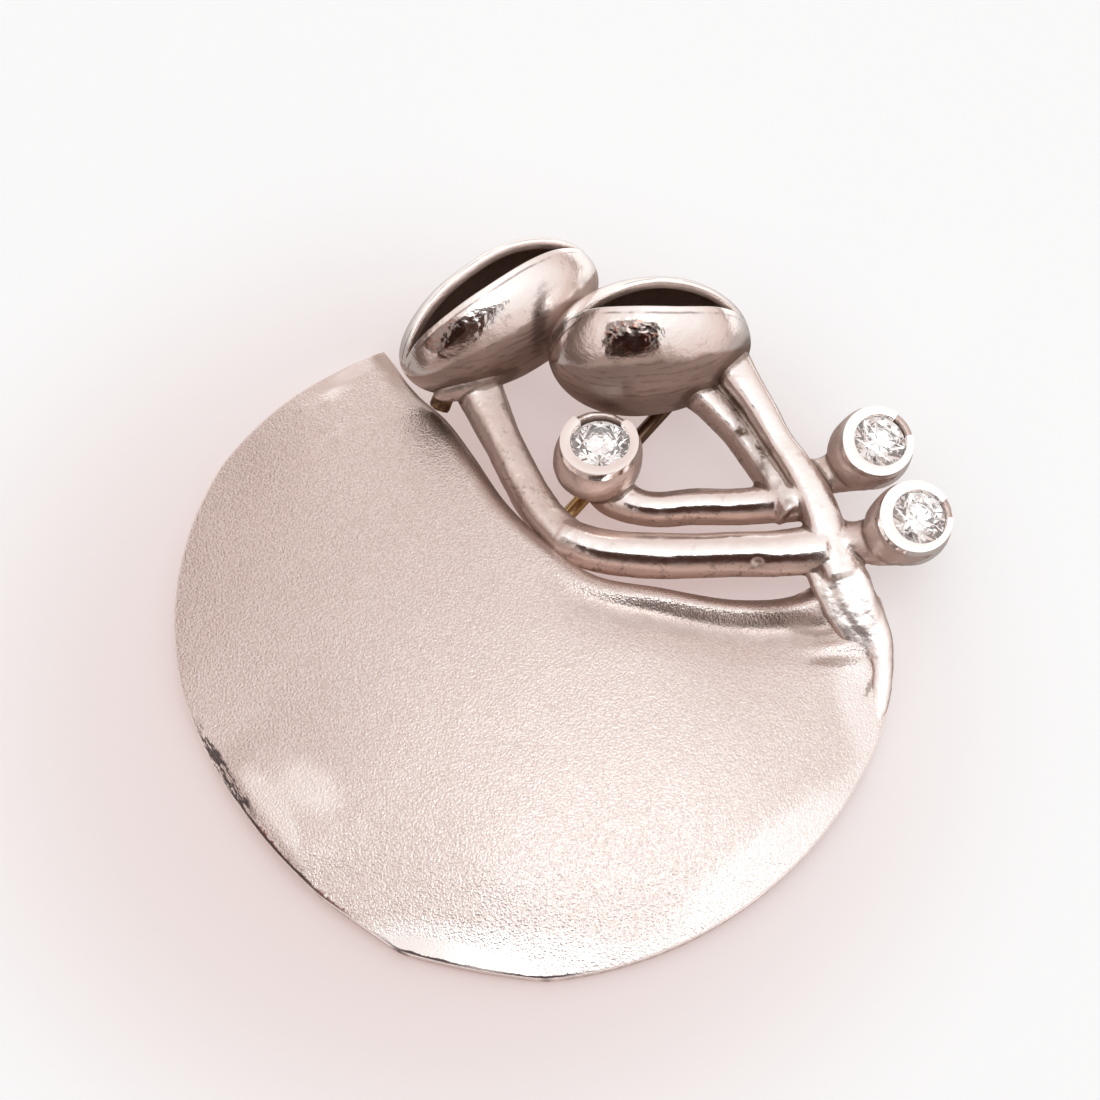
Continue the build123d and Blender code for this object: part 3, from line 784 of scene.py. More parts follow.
def leafTop(x, y, hollow):
    height = leaf["sheet"] + leaf["rise"] * (1 - (np.hypot(x, y) / (leaf["foot"] * leafRadius)) ** 2)
    for place, long, wide, turn, depth in leaf["dents"]:
        height = height + depth * bumpAt(x, y, place, long, wide, turn)
    for start, end, inner, outer, rise in leaf["creases"]:
        ax, ay = start[0] * leafRadius, start[1] * leafRadius
        run = np.array(end) * leafRadius - np.array((ax, ay))
        length = np.hypot(*run)
        run = run / length
        along = (x - ax) * run[0] + (y - ay) * run[1]
        away = (y - ay) * run[0] - (x - ax) * run[1]      # positive on the leaf's inner side
        width = np.where(away > 0, inner, outer)
        before, after = leaf["creaseFade"]
        ends = softStep(along, -before, after) * (1 - softStep(along, length - after, length + before))
        height = height + rise * ends * np.exp(-(away / width) ** 2)
    away, share = awayFromLine(x, y, hollow)
    right = 1 - softStep(share, *leaf["lipEnds"])
    curl = 1 - np.clip(away / leaf["rollWidth"], 0, 1)
    ends = softStep(share, *leaf["rollEnds"][:2]) * (1 - softStep(share, *leaf["rollEnds"][2:]))
    height = height - leaf["rollDown"] * ends * (1 - np.sqrt(1 - curl ** 2 * 0.98))
    lip = np.exp(-((away - leaf["lipPlace"]) / leaf["lipWidth"]) ** 2)
    valley = np.exp(-((away - leaf["valleyPlace"]) / leaf["valleyWidth"]) ** 2)
    height = height + right * (leaf["lipHeight"] * lip - leaf["valleyDepth"] * valley)
    return np.maximum(height, leaf["sheet"] + leaf["leastRise"])


def makeLeaf():
    outline, hollow = leafOutline()
    star = np.array(leaf["star"])
    rim = np.array(outline) - star
    angles = np.arctan2(rim[:, 1], rim[:, 0])
    order = np.argsort(angles)
    reach = np.hypot(rim[:, 0], rim[:, 1])[order]
    angles = angles[order]
    mesh = bmesh.new()
    steps = leaf["steps"]
    bmesh.ops.create_grid(mesh, x_segments=steps, y_segments=steps, size=1.0)
    layers = {name: mesh.verts.layers.float.new(name)
              for name in ("worn", "bloom", "line", "lip", "polish", "pale", "grime", "rimAway")}
    verts = list(mesh.verts)
    a = np.array([vert.co.x for vert in verts])
    b = np.array([vert.co.y for vert in verts])
    across, along = a * np.sqrt(1 - b * b / 2), b * np.sqrt(1 - a * a / 2)    # the square grid, drawn round
    out = np.hypot(across, along)
    turn = np.arctan2(along, across)
    # the middle of the grid is drawn out evenly, and only its rim follows the corners of the outline
    sweep = np.linspace(-pi, pi, 721)[:-1]
    wide, narrow = leaf["evenOver"], leaf["softOver"]
    evenly = np.interp(sweep, angles, reach, period=2 * pi)
    evenly = np.mean([np.roll(evenly, shift) for shift in range(-wide, wide + 1)], axis=0)
    evenly = np.interp(turn, sweep, evenly, period=2 * pi)
    corners = np.interp(sweep, angles, reach, period=2 * pi)
    soft = np.mean([np.roll(corners, shift) for shift in range(-narrow, narrow + 1)], axis=0)
    near, far = (radians(angle) for angle in leaf["roundReach"])
    rounded = softStep(np.abs(sweep - radians(leaf["roundMiddle"])), near, far)
    rounded = np.interp(angles, sweep, soft + (corners - soft) * rounded, period=2 * pi)
    exactly = np.interp(turn, angles, rounded, period=2 * pi)
    out = out * (evenly + (exactly - evenly) * out ** 2)
    x = (star[0] + out * np.cos(turn)) * leafRadius
    y = (star[1] + out * np.sin(turn)) * leafRadius
    z = leafTop(x, y, hollow)
    edgeAway, _ = awayFromLine(x, y, outline + [outline[0]])
    hollowAway, share = awayFromLine(x, y, hollow)
    begins, full, fades, ends = leaf["valleyShade"]
    valley = softStep(hollowAway, begins, full) * (1 - softStep(hollowAway, fades, ends))
    valley = valley * (1 - softStep(share, 0.3, 0.6))
    marks = {
        "worn": bumpAt(x, y, *leaf["wornPlace"]),
        "bloom": sum(bumpAt(x, y, *place) for place in leaf["bloomPlaces"]),
        "line": np.minimum(sum(bumpAt(x, y, *place) for place in leaf["linePlaces"]), 1),
        # painted shade on the curl along the hollow edge and in the valley beside it
        "lip": 1 - softStep(hollowAway, 0.1, 1.0 + 0.7 * softStep(share, 0.45, 0.6)) + 0.65 * valley,
        "polish": np.minimum(sum(bumpAt(x, y, *place) for place in leaf["polishPlaces"]) * 1.3, 1),
        # painted highlights
        "pale": np.minimum(sum(bumpAt(x, y, *place) for place in leaf["highlightPlaces"]), 1),
        # painted shade round the stem's foot
        "grime": np.minimum(sum(bumpAt(x, y, *place) for place in leaf["shadePlaces"]), 1),
        "rimAway": edgeAway,
    }
    for i, vert in enumerate(verts):
        wave = noise.noise(Vector((x[i], y[i], 0)) * leaf["unevenScale"])
        vert.co = (x[i], y[i], z[i] + leaf["uneven"] * wave)
        for name, layer in layers.items():
            vert[layer] = float(marks[name][i])
    top = mesh.faces[:]
    made = bmesh.ops.extrude_face_region(mesh, geom=top, use_keep_orig=True)["geom"]
    lower = [item for item in made if isinstance(item, bmesh.types.BMVert)]
    bmesh.ops.translate(mesh, verts=lower, vec=(0, 0, -leaf["sheet"]))
    for vert in lower:
        inward = Vector((*star, 0)) * leafRadius - vert.co
        inward.z = 0
        vert.co += inward.normalized() * leaf["underCut"] * max(0.0, 1 - vert[layers["rimAway"]])
    bmesh.ops.recalc_face_normals(mesh, faces=mesh.faces)
    piece = finishPiece("leafSheet", mesh, leafGold)
    roundEdges(piece, leaf["edgeRound"])


makeLeaf()


# The two pods: a grid wrapped round an egg, left open along a lens for the mouth

# middles are shares of the leaf's radius, widest, mouth and shift are shares of the length, and the rest is
# in mm and degrees; front and back are how far the mouth opens to each side of its line
pods = {
    "leftPod": {
        "middle": (-0.102, 0.903), "level": 4.95, "length": 11.4, "tall": 3.70, "deep": 2.80, "widest": 0.55,
        "turn": 33.0, "pitch": 1.0, "lean": 20.0, "front": 0.84, "back": 0.78, "mouth": 0.95, "shift": -0.01,
    },
    "rightPod": {
        "middle": (0.318, 0.803), "level": 5.40, "length": 10.5, "tall": 4.02, "deep": 3.00, "widest": 0.48,
        "turn": 8.4, "pitch": -5.0, "lean": 20.0, "front": 0.98, "back": 0.68, "mouth": 0.76, "shift": 0.06,
    },
}
podShell = {
    "wall": 0.42, "lipRound": 0.00012, "around": 200, "along": 140, "bluntTall": 1.12, "bluntDeep": 0.84,
    "girth": 3.2,                    # about the mean radius of both, which turns angles into mm
    "uneven": 0.06, "unevenScale": 0.45, "fineUneven": 0.012, "fineScale": 1.3,
    # the brushed satin, also painted darker as a painted reflection of the dark room in front: how far a
    # face may look up, and how far to the back
    "satinBelow": (-0.74, -0.50), "satinFront": (-0.4, 0.0),
    "jointReach": 0.6,               # mm of grime and painted shade round the stems
    # beaten patches, painted reflections of the dark opening and a painted dark streak: middle as the camera
    # sees it, half width, half height, turn
    "beaten": [(-3.95, 16.50, 1.9, 1.0, 35), (4.9, 16.2, 2.0, 1.2, 5)],
    "openingReflections": [(-4.60, 16.20, 1.25, 0.58, 38), (4.95, 16.10, 1.55, 0.98, 4)],
    # a dark streak painted as the reflection of the right pod
    "streakReflections": [(0.25, 16.95, 0.50, 2.1, -6)],
    "beatenDepth": 0.022,
    "beatenScale": 2.4,
}


def podPlane(pod):
    turn, pitch, lean = radians(pod["turn"]), radians(pod["pitch"]), radians(pod["lean"])
    flat = Vector((cos(turn), sin(turn), 0))
    along = flat * cos(pitch) + Vector((0, 0, 1)) * sin(pitch)
    across = Vector((0, 0, 1)).cross(flat)
    mouth = along.cross(across) * cos(lean) + across * sin(lean)
    side = mouth.cross(along)
    place = Matrix((along, side, mouth)).transposed().to_4x4()
    return Matrix.Translation(spot(*pod["middle"], pod["level"])) @ place


def seenMark(place, mark, power=4):
    # 1 in the middle of a mark, fading out past its half width and half height
    across, up = seenAt(place)
    middle, level, wide, high, turn = mark
    c, s = cos(radians(turn)), sin(radians(turn))
    a, b = across - middle, up - level
    return exp(-(((a * c + b * s) / wide) ** power + ((b * c - a * s) / high) ** power))


def makePod(name):
    pod = pods[name]
    length, tall, deep = pod["length"], pod["tall"], pod["deep"]
    left = length * pod["widest"]
    centre = left - length / 2
    half = length * pod["mouth"] / 2
    plane = podPlane(pod)
    mesh = bmesh.new()
    bmesh.ops.create_grid(mesh, x_segments=podShell["along"], y_segments=podShell["around"], size=1.0)
    satin = mesh.verts.layers.float.new("satin")
    hammer = mesh.verts.layers.float.new("hammer")
    streak = mesh.verts.layers.float.new("streak")
    dark = mesh.verts.layers.float.new("dark")
    mesh.verts.layers.float.new("joint")
    lipAway = mesh.verts.layers.float.new("lipAway")
    inside = mesh.verts.layers.float.new("inside")
    for vert in mesh.verts:
        t = (vert.co.x + 1) / 2 * pi
        x = centre - cos(t) * (left if t < pi / 2 else length - left)
        fullTall, fullDeep = (max(sin(t), 0.0) ** podShell[key] for key in ("bluntTall", "bluntDeep"))
        opening = max(0.0, 1 - ((x - length * pod["shift"]) / half) ** 2)
        behind = asin(min(pod["back"] * opening / max(deep * fullDeep, 1e-6), 1.0))
        before = asin(min(pod["front"] * opening / max(deep * fullDeep, 1e-6), 1.0))
        row = vert.co.y                # -1 and 1 are the two lips of the mouth
        angle = behind + (2 * pi - behind - before) * (row + 1) / 2
        place = plane @ Vector((x, deep * fullDeep * sin(angle), tall * fullTall * cos(angle)))
        out = (plane.to_3x3() @ Vector((0, sin(angle) / deep, cos(angle) / tall))).normalized()
        beaten = min(sum(seenMark(place, mark) for mark in podShell["beaten"]), 1.0)
        lift = podShell["uneven"] * noise.noise(place * podShell["unevenScale"]) * sin(t)
        lift += podShell["beatenDepth"] * beaten * noise.noise(place * podShell["beatenScale"])
        lift += podShell["fineUneven"] * noise.noise(place * podShell["fineScale"]) * sin(t)
        vert.co = place + out * lift
        vert[hammer] = beaten
        vert[lipAway] = (1 - abs(row)) / 2 * (2 * pi - behind - before) * podShell["girth"] * fullDeep
        # a dark streak painted as the reflection of the right pod
        vert[streak] = min(sum(seenMark(place, mark, 2) for mark in podShell["streakReflections"]), 1.0)
        # painted reflection of the dark opening
        vert[dark] = min(sum(seenMark(place, mark) for mark in podShell["openingReflections"]), 1.0)
        # faces turned to the front and not up are satin, and painted darker as a reflection of the dark room
        # in front
        vert[satin] = float(softStep(-out.z, *podShell["satinBelow"])
                            * softStep(-out.y, *podShell["satinFront"]))
    bmesh.ops.remove_doubles(mesh, verts=mesh.verts, dist=0.0005)
    bmesh.ops.recalc_face_normals(mesh, faces=mesh.faces)
    outer = set(mesh.verts)
    bmesh.ops.solidify(mesh, geom=mesh.faces[:], thickness=podShell["wall"])
    for vert in mesh.verts:
        if vert not in outer:
            vert[inside] = 1.0
    bmesh.ops.recalc_face_normals(mesh, faces=mesh.faces)
    skin = BVHTree.FromBMesh(mesh)
    piece = finishPiece(name, mesh, podGold)
    roundEdges(piece, podShell["lipRound"])
    return piece, skin


podPieces = [makePod(name) for name in pods]


# The cups: a bell turned round its axis, with a notch sawn through the rim

# place is in shares of the leaf's radius, lean and notch (its way and half its angle) are in degrees, and
# body and rim are how far the two lie off the axis, in mm
cups = {
    "innerCup": {"place": (0.181, 0.50), "stone": 3.0, "lean": (0.0, 8.0), "notch": (88, 42),
                 "body": (-0.22, -0.10), "rim": (-0.04, -0.03)},
    "upperCup": {"place": (0.962, 0.503), "stone": 2.7, "lean": (12.0, -8.0), "notch": (36, 22),
                 "body": (-0.35, 0.0), "rim": (-0.12, -0.05)},
    "lowerCup": {"place": (1.070, 0.268), "stone": 2.8, "lean": (12.0, -9.0), "notch": (19, 17),
                 "body": (-0.40, 0.0), "rim": (-0.18, 0.0)},
}
cupShape = {
    "level": 5.88, "depth": 4.0, "rimWall": 0.5, "stoneGap": 0.03, "girdleDrop": 0.5,
    "girdleShare": 0.045, "pavilion": 40.8, "notchDrop": 1.5,
    # shares of the depth and of the rim's radius
    "bell": [(0.12, 1.03), (0.38, 1.09), (0.65, 0.98), (0.88, 0.64), (0.97, 0.33)],
    "edgeRound": 0.00007, "edgeAngle": 35, "steps": 96,
    "shade": (0.6, 2.2),             # mm below the rim where its polish begins to fade and is gone
    "bodyTop": 0.22, "bodyInset": 0.20, "bodyFoot": 3.75, "leanFrom": 0.7, "leanFull": 2.4,
    # the cast body under the rim: outer radius past the rim and drop, in mm
    "body": [(0.09, 0.50), (0.20, 1.00), (0.22, 1.55), (0.08, 2.20), (-0.35, 2.85), (-1.05, 3.35)],
}


def cupPlane(cup):
    axis = Vector((tan(radians(cup["lean"][0])), tan(radians(cup["lean"][1])), 1)).normalized()
    towards = Vector((cos(radians(cup["notch"][0])), sin(radians(cup["notch"][0])), 0))
    towards = (towards - axis * towards.dot(axis)).normalized()
    place = Matrix((towards, axis.cross(towards), axis)).transposed().to_4x4()
    return Matrix.Translation(spot(*cup["place"], cupShape["level"])) @ place


def turnProfile(mesh, profile):
    # spins a line of radius and height round Z into a closed skin
    verts = [mesh.verts.new((r, 0, z)) for r, z in profile]
    edges = [mesh.edges.new(pair) for pair in zip(verts, verts[1:])]
    old = set(mesh.verts) - set(verts)
    bmesh.ops.spin(mesh, geom=verts + edges, cent=(0, 0, 0), axis=(0, 0, 1), angle=2 * pi,
                   steps=cupShape["steps"], use_merge=True)
    made = [vert for vert in mesh.verts if vert not in old]
    bmesh.ops.remove_doubles(mesh, verts=made, dist=0.0005)
    return [vert for vert in mesh.verts if vert not in old]


def addCupBody(mesh, cup):
    bore = cup["stone"] / 2 + cupShape["stoneGap"] + cupShape["bodyInset"]
    rim = cup["stone"] / 2 + cupShape["stoneGap"] + cupShape["rimWall"]
    top = -cupShape["bodyTop"]
    ledge = -cupShape["girdleDrop"] - cupShape["girdleShare"] * cup["stone"] / 2 - cupShape["bodyInset"]
    floor = ledge - bore * tan(radians(cupShape["pavilion"]))
    curve = smoothRows([(rim - 0.02, top - 0.06)] + [(rim + out, -drop) for out, drop in cupShape["body"]]
                       + [(0.0, -cupShape["bodyFoot"])], 5)
    profile = [(0.0, floor), (bore, ledge), (bore, top)] + [tuple(row) for row in curve]
    made = turnProfile(mesh, profile)
    bmesh.ops.transform(mesh, matrix=cupPlane(cup), verts=made)
    # the body leans out towards its stub, most of all low down
    for vert in made:
        sink = softStep(cupShape["level"] - vert.co.z, cupShape["leanFrom"], cupShape["leanFull"])
        vert.co += Vector((*cup["rim"], 0)) + Vector((*cup["body"], 0)) * float(sink)


def cutAway(mesh, cutter):
    things = []
    for name, part in (("body", mesh), ("cutter", cutter)):
        data = bpy.data.meshes.new(name)
        part.to_mesh(data)
        part.free()
        thing = bpy.data.objects.new(name, data)
        bpy.context.scene.collection.objects.link(thing)
        things.append(thing)
    cut = things[0].modifiers.new("cut", "BOOLEAN")
    cut.object = things[1]
    cut.operation = "DIFFERENCE"
    cut.solver = "EXACT"
    result = bpy.data.meshes.new_from_object(things[0].evaluated_get(bpy.context.evaluated_depsgraph_get()))
    left = bmesh.new()
    left.from_mesh(result)
    for thing in things:
        data = thing.data
        bpy.data.objects.remove(thing)
        bpy.data.meshes.remove(data)
    bpy.data.meshes.remove(result)
    return left


def makeCup(name):
    cup = cups[name]
    stone = cup["stone"] / 2
    bore = stone + cupShape["stoneGap"]
    rim = bore + cupShape["rimWall"]
    ledge = -cupShape["girdleDrop"] - cupShape["girdleShare"] * stone - cupShape["stoneGap"]
    floor = ledge - bore * tan(radians(cupShape["pavilion"]))
    outside = smoothRows([(rim, 0.0)] + [(rim * r, -cupShape["depth"] * d) for d, r in cupShape["bell"]]
                         + [(0.0, -cupShape["depth"])], 5)
    profile = [(0.0, floor), (bore, ledge), (bore, -0.02)] + [tuple(row) for row in outside]
    mesh = bmesh.new()
    turnProfile(mesh, profile)
    # the rim is thicker on one side of the stone
    shift = cupPlane(cup).to_3x3().inverted() @ Vector((*cup["rim"], 0))
    shift.z = 0
    for vert in mesh.verts:
        if hypot(vert.co.x, vert.co.y) > bore + 0.1:
            vert.co += shift
    bmesh.ops.recalc_face_normals(mesh, faces=mesh.faces)
    cutter = bmesh.new()
    reach = rim * 1.5
    halfWidth = reach * tan(radians(cup["notch"][1]))
    corners = [cutter.verts.new(place) for place in (
        (0, 0, -cupShape["notchDrop"]), (reach, -halfWidth, -cupShape["notchDrop"]),
        (reach, halfWidth, -cupShape["notchDrop"]))]
    wedge = cutter.faces.new(corners)
    made = bmesh.ops.extrude_face_region(cutter, geom=[wedge])["geom"]
    bmesh.ops.translate(cutter, verts=[item for item in made if isinstance(item, bmesh.types.BMVert)],
                        vec=(0, 0, cupShape["notchDrop"] + 1))
    bmesh.ops.recalc_face_normals(cutter, faces=cutter.faces)
    mesh = cutAway(mesh, cutter)
    low = mesh.verts.layers.float.new("low")
    for vert in mesh.verts:
        vert[low] = float(softStep(-vert.co.z, *cupShape["shade"]))
    mesh.transform(cupPlane(cup))
    piece = finishPiece(name, mesh, rimGold)
    roundEdges(piece, cupShape["edgeRound"], angle=cupShape["edgeAngle"])


for cupName in cups:
    makeCup(cupName)


# The cast stems: rods, blobs and the cups' bodies melted together, then worked as the casting was

castStems = {
    # rows: shares of the leaf's radius across and along, share of the stem level, then half the rod's
    # width and half its height in mm; crown, square and roll shape its section
    # polish is how far its top shines and is painted lighter, gloss how smooth its skin is, and the last how
    # far its lower flank is painted lighter, as reflected light from the leaf
    "rods": {
        "mainStem": {
            "crown": 0.82, "square": 0.85, "roll": 6, "polish": 1.1, "gloss": 0.7, "pale": 0,
            "rows": [
                (0.535, 0.775, 1.72, 1.10, 1.05), (0.585, 0.688, 1.65, 0.90, 1.05),
                (0.632, 0.616, 1.55, 0.80, 1.00), (0.680, 0.532, 1.44, 0.78, 1.00),
                (0.730, 0.457, 1.34, 0.84, 1.05), (0.788, 0.351, 1.22, 0.98, 1.10),
                (0.823, 0.244, 1.05, 1.08, 1.10), (0.858, 0.165, 0.90, 1.15, 1.05),
            ],
        },
        "foot": {
            "crown": 0.75, "square": 0.9, "roll": 0, "polish": 1.1, "gloss": 0.25, "pale": 0,
            "rows": [
                (0.828, 0.230, 1.00, 1.08, 1.05), (0.866, 0.145, 0.86, 1.15, 0.98),
                (0.912, 0.066, 0.72, 1.08, 0.78), (0.953, 0.000, 0.58, 0.76, 0.62),
                (0.965, -0.085, 0.46, 0.58, 0.46), (0.952, -0.190, 0.34, 0.55, 0.32),
                (0.926, -0.270, 0.27, 0.42, 0.28), (0.893, -0.360, 0.13, 0.30, 0.22),
            ],
        },
        "web": {
            "crown": 0.6, "square": 0.8, "roll": -8, "polish": 1.0, "gloss": 0.2, "pale": 0,
            "rows": [
                (0.800, 0.225, 1.02, 1.20, 0.85), (0.850, 0.140, 0.93, 1.50, 0.75),
                (0.885, 0.062, 0.80, 1.35, 0.56), (0.910, -0.005, 0.63, 1.00, 0.45),
                (0.925, -0.065, 0.46, 0.70, 0.32),
            ],
        },
        "sideRod": {
            "crown": 0.9, "square": 0.75, "roll": 24, "polish": 0.8, "gloss": 0.6, "pale": 0,
            "rows": [
                (0.430, 0.725, 1.45, 1.20, 1.05), (0.508, 0.640, 1.42, 0.84, 0.92),
                (0.582, 0.550, 1.32, 0.76, 0.88), (0.626, 0.485, 1.26, 0.76, 0.88),
                (0.670, 0.421, 1.20, 0.82, 0.92), (0.725, 0.345, 1.14, 1.10, 1.00),
            ],
        },
        "stemA": {
            "crown": 0.85, "square": 0.75, "roll": 10, "polish": 0.3, "gloss": 0.5, "pale": 0,
            "rows": [
                (-0.165, 0.850, 1.10, 1.70, 1.20), (-0.160, 0.735, 1.25, 1.30, 1.15),
                (-0.110, 0.604, 1.20, 1.00, 1.08), (-0.044, 0.461, 1.12, 0.95, 1.06),
                (0.030, 0.334, 1.05, 0.98, 1.06), (0.090, 0.268, 1.02, 1.05, 1.08),
            ],
        },
        "stemRun": {
            "crown": 1.0, "square": 1.0, "roll": 0, "polish": 0.75, "gloss": 1, "pale": 1,
            "rows": [
                (0.070, 0.275, 1.02, 1.05, 1.08), (0.181, 0.236, 1.0, 1.15, 1.14),
                (0.293, 0.222, 1.0, 1.18, 1.15), (0.516, 0.222, 1.0, 1.18, 1.15),
                (0.700, 0.228, 1.02, 1.22, 1.15), (0.810, 0.240, 1.02, 1.30, 1.15),
            ],
        },
        "stemB": {
            "crown": 1.0, "square": 1.0, "roll": 0, "polish": 0.75, "gloss": 1, "pale": 1,
            "rows": [
                (0.190, 0.480, 1.00, 1.60, 1.20), (0.222, 0.412, 0.96, 1.20, 1.05),
                (0.275, 0.376, 0.98, 0.98, 1.00), (0.460, 0.370, 1.00, 0.94, 1.00),
                (0.627, 0.371, 1.07, 0.98, 1.00), (0.740, 0.385, 1.16, 1.20, 1.05),
            ],
        },
        "upperStub": {
            "crown": 0.95, "square": 1.0, "roll": 0, "polish": 0.45, "gloss": 0.5, "pale": 0.3,
            "rows": [
                (0.735, 0.440, 1.12, 1.40, 1.00), (0.800, 0.455, 1.12, 0.98, 0.85),
                (0.850, 0.470, 1.15, 1.15, 0.95), (0.905, 0.487, 1.18, 1.45, 1.15),
            ],
        },
        "lowerStub": {
            "crown": 0.95, "square": 1.0, "roll": 0, "polish": 0.45, "gloss": 0.5, "pale": 0.3,
            "rows": [
                (0.800, 0.270, 1.05, 1.50, 1.00), (0.885, 0.262, 1.05, 1.02, 0.85),
                (0.945, 0.262, 1.08, 1.32, 1.05), (1.000, 0.266, 1.16, 1.55, 1.15),
            ],
        },
    },
    # blobs: place in shares, height in mm, sizes in mm, turn and tilt
    "blobs": [
        ((0.745, 0.385), 3.60, (1.30, 0.85, 0.75), 20, 0),
        ((-0.235, 0.760), 3.10, (1.15, 0.75, 0.85), 30, 0),
        ((-0.176, 0.720), 4.35, (2.15, 0.74, 0.85), 22, 0),
    ],
    # polish, painted light on the lower flank, and gloss of the blobs and of the cups' bodies
    "blobShine": (1.0, 1.0, 0.5),
    "bodyShine": (0.1, 0.0, 0.3),
    # pits: place, radius and depth in mm
    "pits": [
        ((11.38, 3.30, 3.85), 0.20, 0.15),
        ((12.25, 6.10, 4.30), 0.20, 0.14),
    ],
    # dark stains and painted shade: from, to and reach in mm; the pit's is a stain, and the runs along the
    # side rod's left wall and the patches under the pods are painted shade
    "stainsAndShadows": [((8.2, 13.3, 2.6), (8.2, 13.3, 2.6), 1.0), ((-4.6, 13.4, 2.6), (-4.6, 13.4, 2.6), 1.4),
               ((11.38, 3.30, 3.76), (11.38, 3.40, 3.64), 0.26), ((10.3, 12.9, 4.6), (13.5, 7.7, 3.8), 0.26),
               ((10.0, 12.5, 5.0), (10.5, 10.4, 4.8), 0.34), ((10.5, 10.4, 4.8), (11.4, 9.2, 4.6), 0.32),
               ((11.4, 9.2, 4.6), (11.8, 7.9, 4.3), 0.30),
               ((14.1, 3.70, 3.4), (15.4, 3.15, 3.3), 0.22), ((12.5, 7.3, 4.2), (12.9, 6.4, 4.2), 0.30)],
    "hollowReach": 22,               # rounds of smoothing that a corner, dark with grime and painted shade, fills up within
    "hollowFull": 0.035,             # how far it fills up, in mm, where the grime and painted shade are darkest
    "podShade": 0.30,                # mm of painted shade beside the pods
    # painted shade on faces that look down
    "underShade": 0.4,
    # unevenness: scale, height in mm, and what a skin without gloss adds
    "uneven": [(0.55, 0.05, 0.0), (1.6, 0.016, 0.014), (4.5, 0.005, 0.012)],
    "polishWay": (0.18, -0.08, 0.98),        # the way that a polished top faces, tilted towards the light, so its lighter tone is partly painted light
    "voxel": 0.097,
    "soften": 4,
}


def awayFromRun(place, start, end):
    start, run = Vector(start), Vector(end) - Vector(start)
    share = (place - start).dot(run) / max(run.length_squared, 1e-9)
    return (place - start - run * min(max(share, 0.0), 1.0)).length


def makeStems():
    mesh = bmesh.new()
    shines = []
    for rod in castStems["rods"].values():
        rows = [(*spot(a, b, stemLevel * level), wide, high) for a, b, level, wide, high in rod["rows"]]
        addRod(mesh, rows, crown=rod["crown"], square=rod["square"], roll=rod["roll"])
        shines += [(Vector(row[:3]), rod["polish"], rod["pale"], rod["gloss"])
                   for row in smoothRows(rows, 4)]
    for (a, b), height, sizes, turn, tilt in castStems["blobs"]:
        addBlob(mesh, spot(a, b, height), sizes, turn, tilt)
        shines.append((spot(a, b, height + 0.4), *castStems["blobShine"]))
    for cup in cups.values():
        addCupBody(mesh, cup)
        shines.append((cupPlane(cup).translation - Vector((0, 0, 1.6)), *castStems["bodyShine"]))
    tree = KDTree(len(shines))
    for i, shine in enumerate(shines):
        tree.insert(shine[0], i)
    tree.balance()
    bmesh.ops.recalc_face_normals(mesh, faces=mesh.faces)
    mesh = meltTogether(mesh, castStems["voxel"])
    smoothOver(mesh, castStems["soften"])
    mesh.normal_update()
    filled = mesh.copy()
    smoothOver(filled, castStems["hollowReach"])
    filled.verts.ensure_lookup_table()
    polish = mesh.verts.layers.float.new("polish")
    pale = mesh.verts.layers.float.new("pale")
    gloss = mesh.verts.layers.float.new("gloss")
    stain = mesh.verts.layers.float.new("stain")
    grime = mesh.verts.layers.float.new("grime")
    moves = []
    for i, vert in enumerate(mesh.verts):
        place = vert.co
        near = [(shines[at], 1 / (away + 0.05) ** 2) for _, at, away in tree.find_n(place, 6)]
        total = sum(weight for _, weight in near)
        shares = [sum(shine[k] * weight for shine, weight in near) / total for k in (1, 2, 3)]
        rough = max(1 - shares[2], 0.0)
        lift = sum(noise.noise(place * scale) * (height + more * rough)
                   for scale, height, more in castStems["uneven"])
        # corners fill up when the skin is smoothed; grime and painted shade go in them, and painted shade
        # beside the pods and on faces that look down
        hollow = (filled.verts[i].co - place).dot(vert.normal)
        beside = [podSkin.find_nearest(place, 0.8)[3] for _, podSkin in podPieces]
        beside = min([away for away in beside if away is not None], default=0.8)
        darkening = float(softStep(hollow, 0.0, castStems["hollowFull"]))
        darkening += exp(-(beside / castStems["podShade"]) ** 2)
        darkening += castStems["underShade"] * (1 - softStep(vert.normal.z, -0.3, 0.45))
        vert[grime] = min(darkening, 1.0)
        for centre, radius, depth in castStems["pits"]:
            lift -= depth * exp(-((place - Vector(centre)).length / radius) ** 2)
        moves.append(vert.normal * lift)
        # the tops of the rods are polished, each as far as its own share, and painted lighter where they
        # face the light
        upward = vert.normal.dot(Vector(castStems["polishWay"]))
        vert[polish] = shares[0] * float(softStep(upward, 0.55, 0.90))
        # flanks that face the front are painted lighter, as reflected light from the leaf
        vert[pale] = shares[1] * float(softStep(-vert.normal.y, 0.45, 0.85))
        vert[gloss] = shares[2]
        # stains, and painted shade along the side rod's left wall and under the pods
        vert[stain] = min(sum(exp(-(awayFromRun(place, start, end) / reach) ** 2)
                              for start, end, reach in castStems["stainsAndShadows"]), 1.0)
    filled.free()
    for vert, move in zip(mesh.verts, moves):
        vert.co += move
    skin = BVHTree.FromBMesh(mesh)
    finishPiece("castStems", mesh, castGold)
    return skin


# grime and painted shade on the pods, where the stems join them
def grimeAndShadeRoundStems(pod, skin):
    back = toFrame.inverted()
    near = [skin.find_nearest(back @ vert.co, 1.5)[3] for vert in pod.data.vertices]
    joint = [0.0 if away is None else exp(-(away / podShell["jointReach"]) ** 2) for away in near]
    pod.data.attributes["joint"].data.foreach_set("value", joint)


stemSkin = makeStems()
for podPiece, _ in podPieces:
    grimeAndShadeRoundStems(podPiece, stemSkin)
print("grime set round the joints")


# The solder between the left pod and the leaf's edge

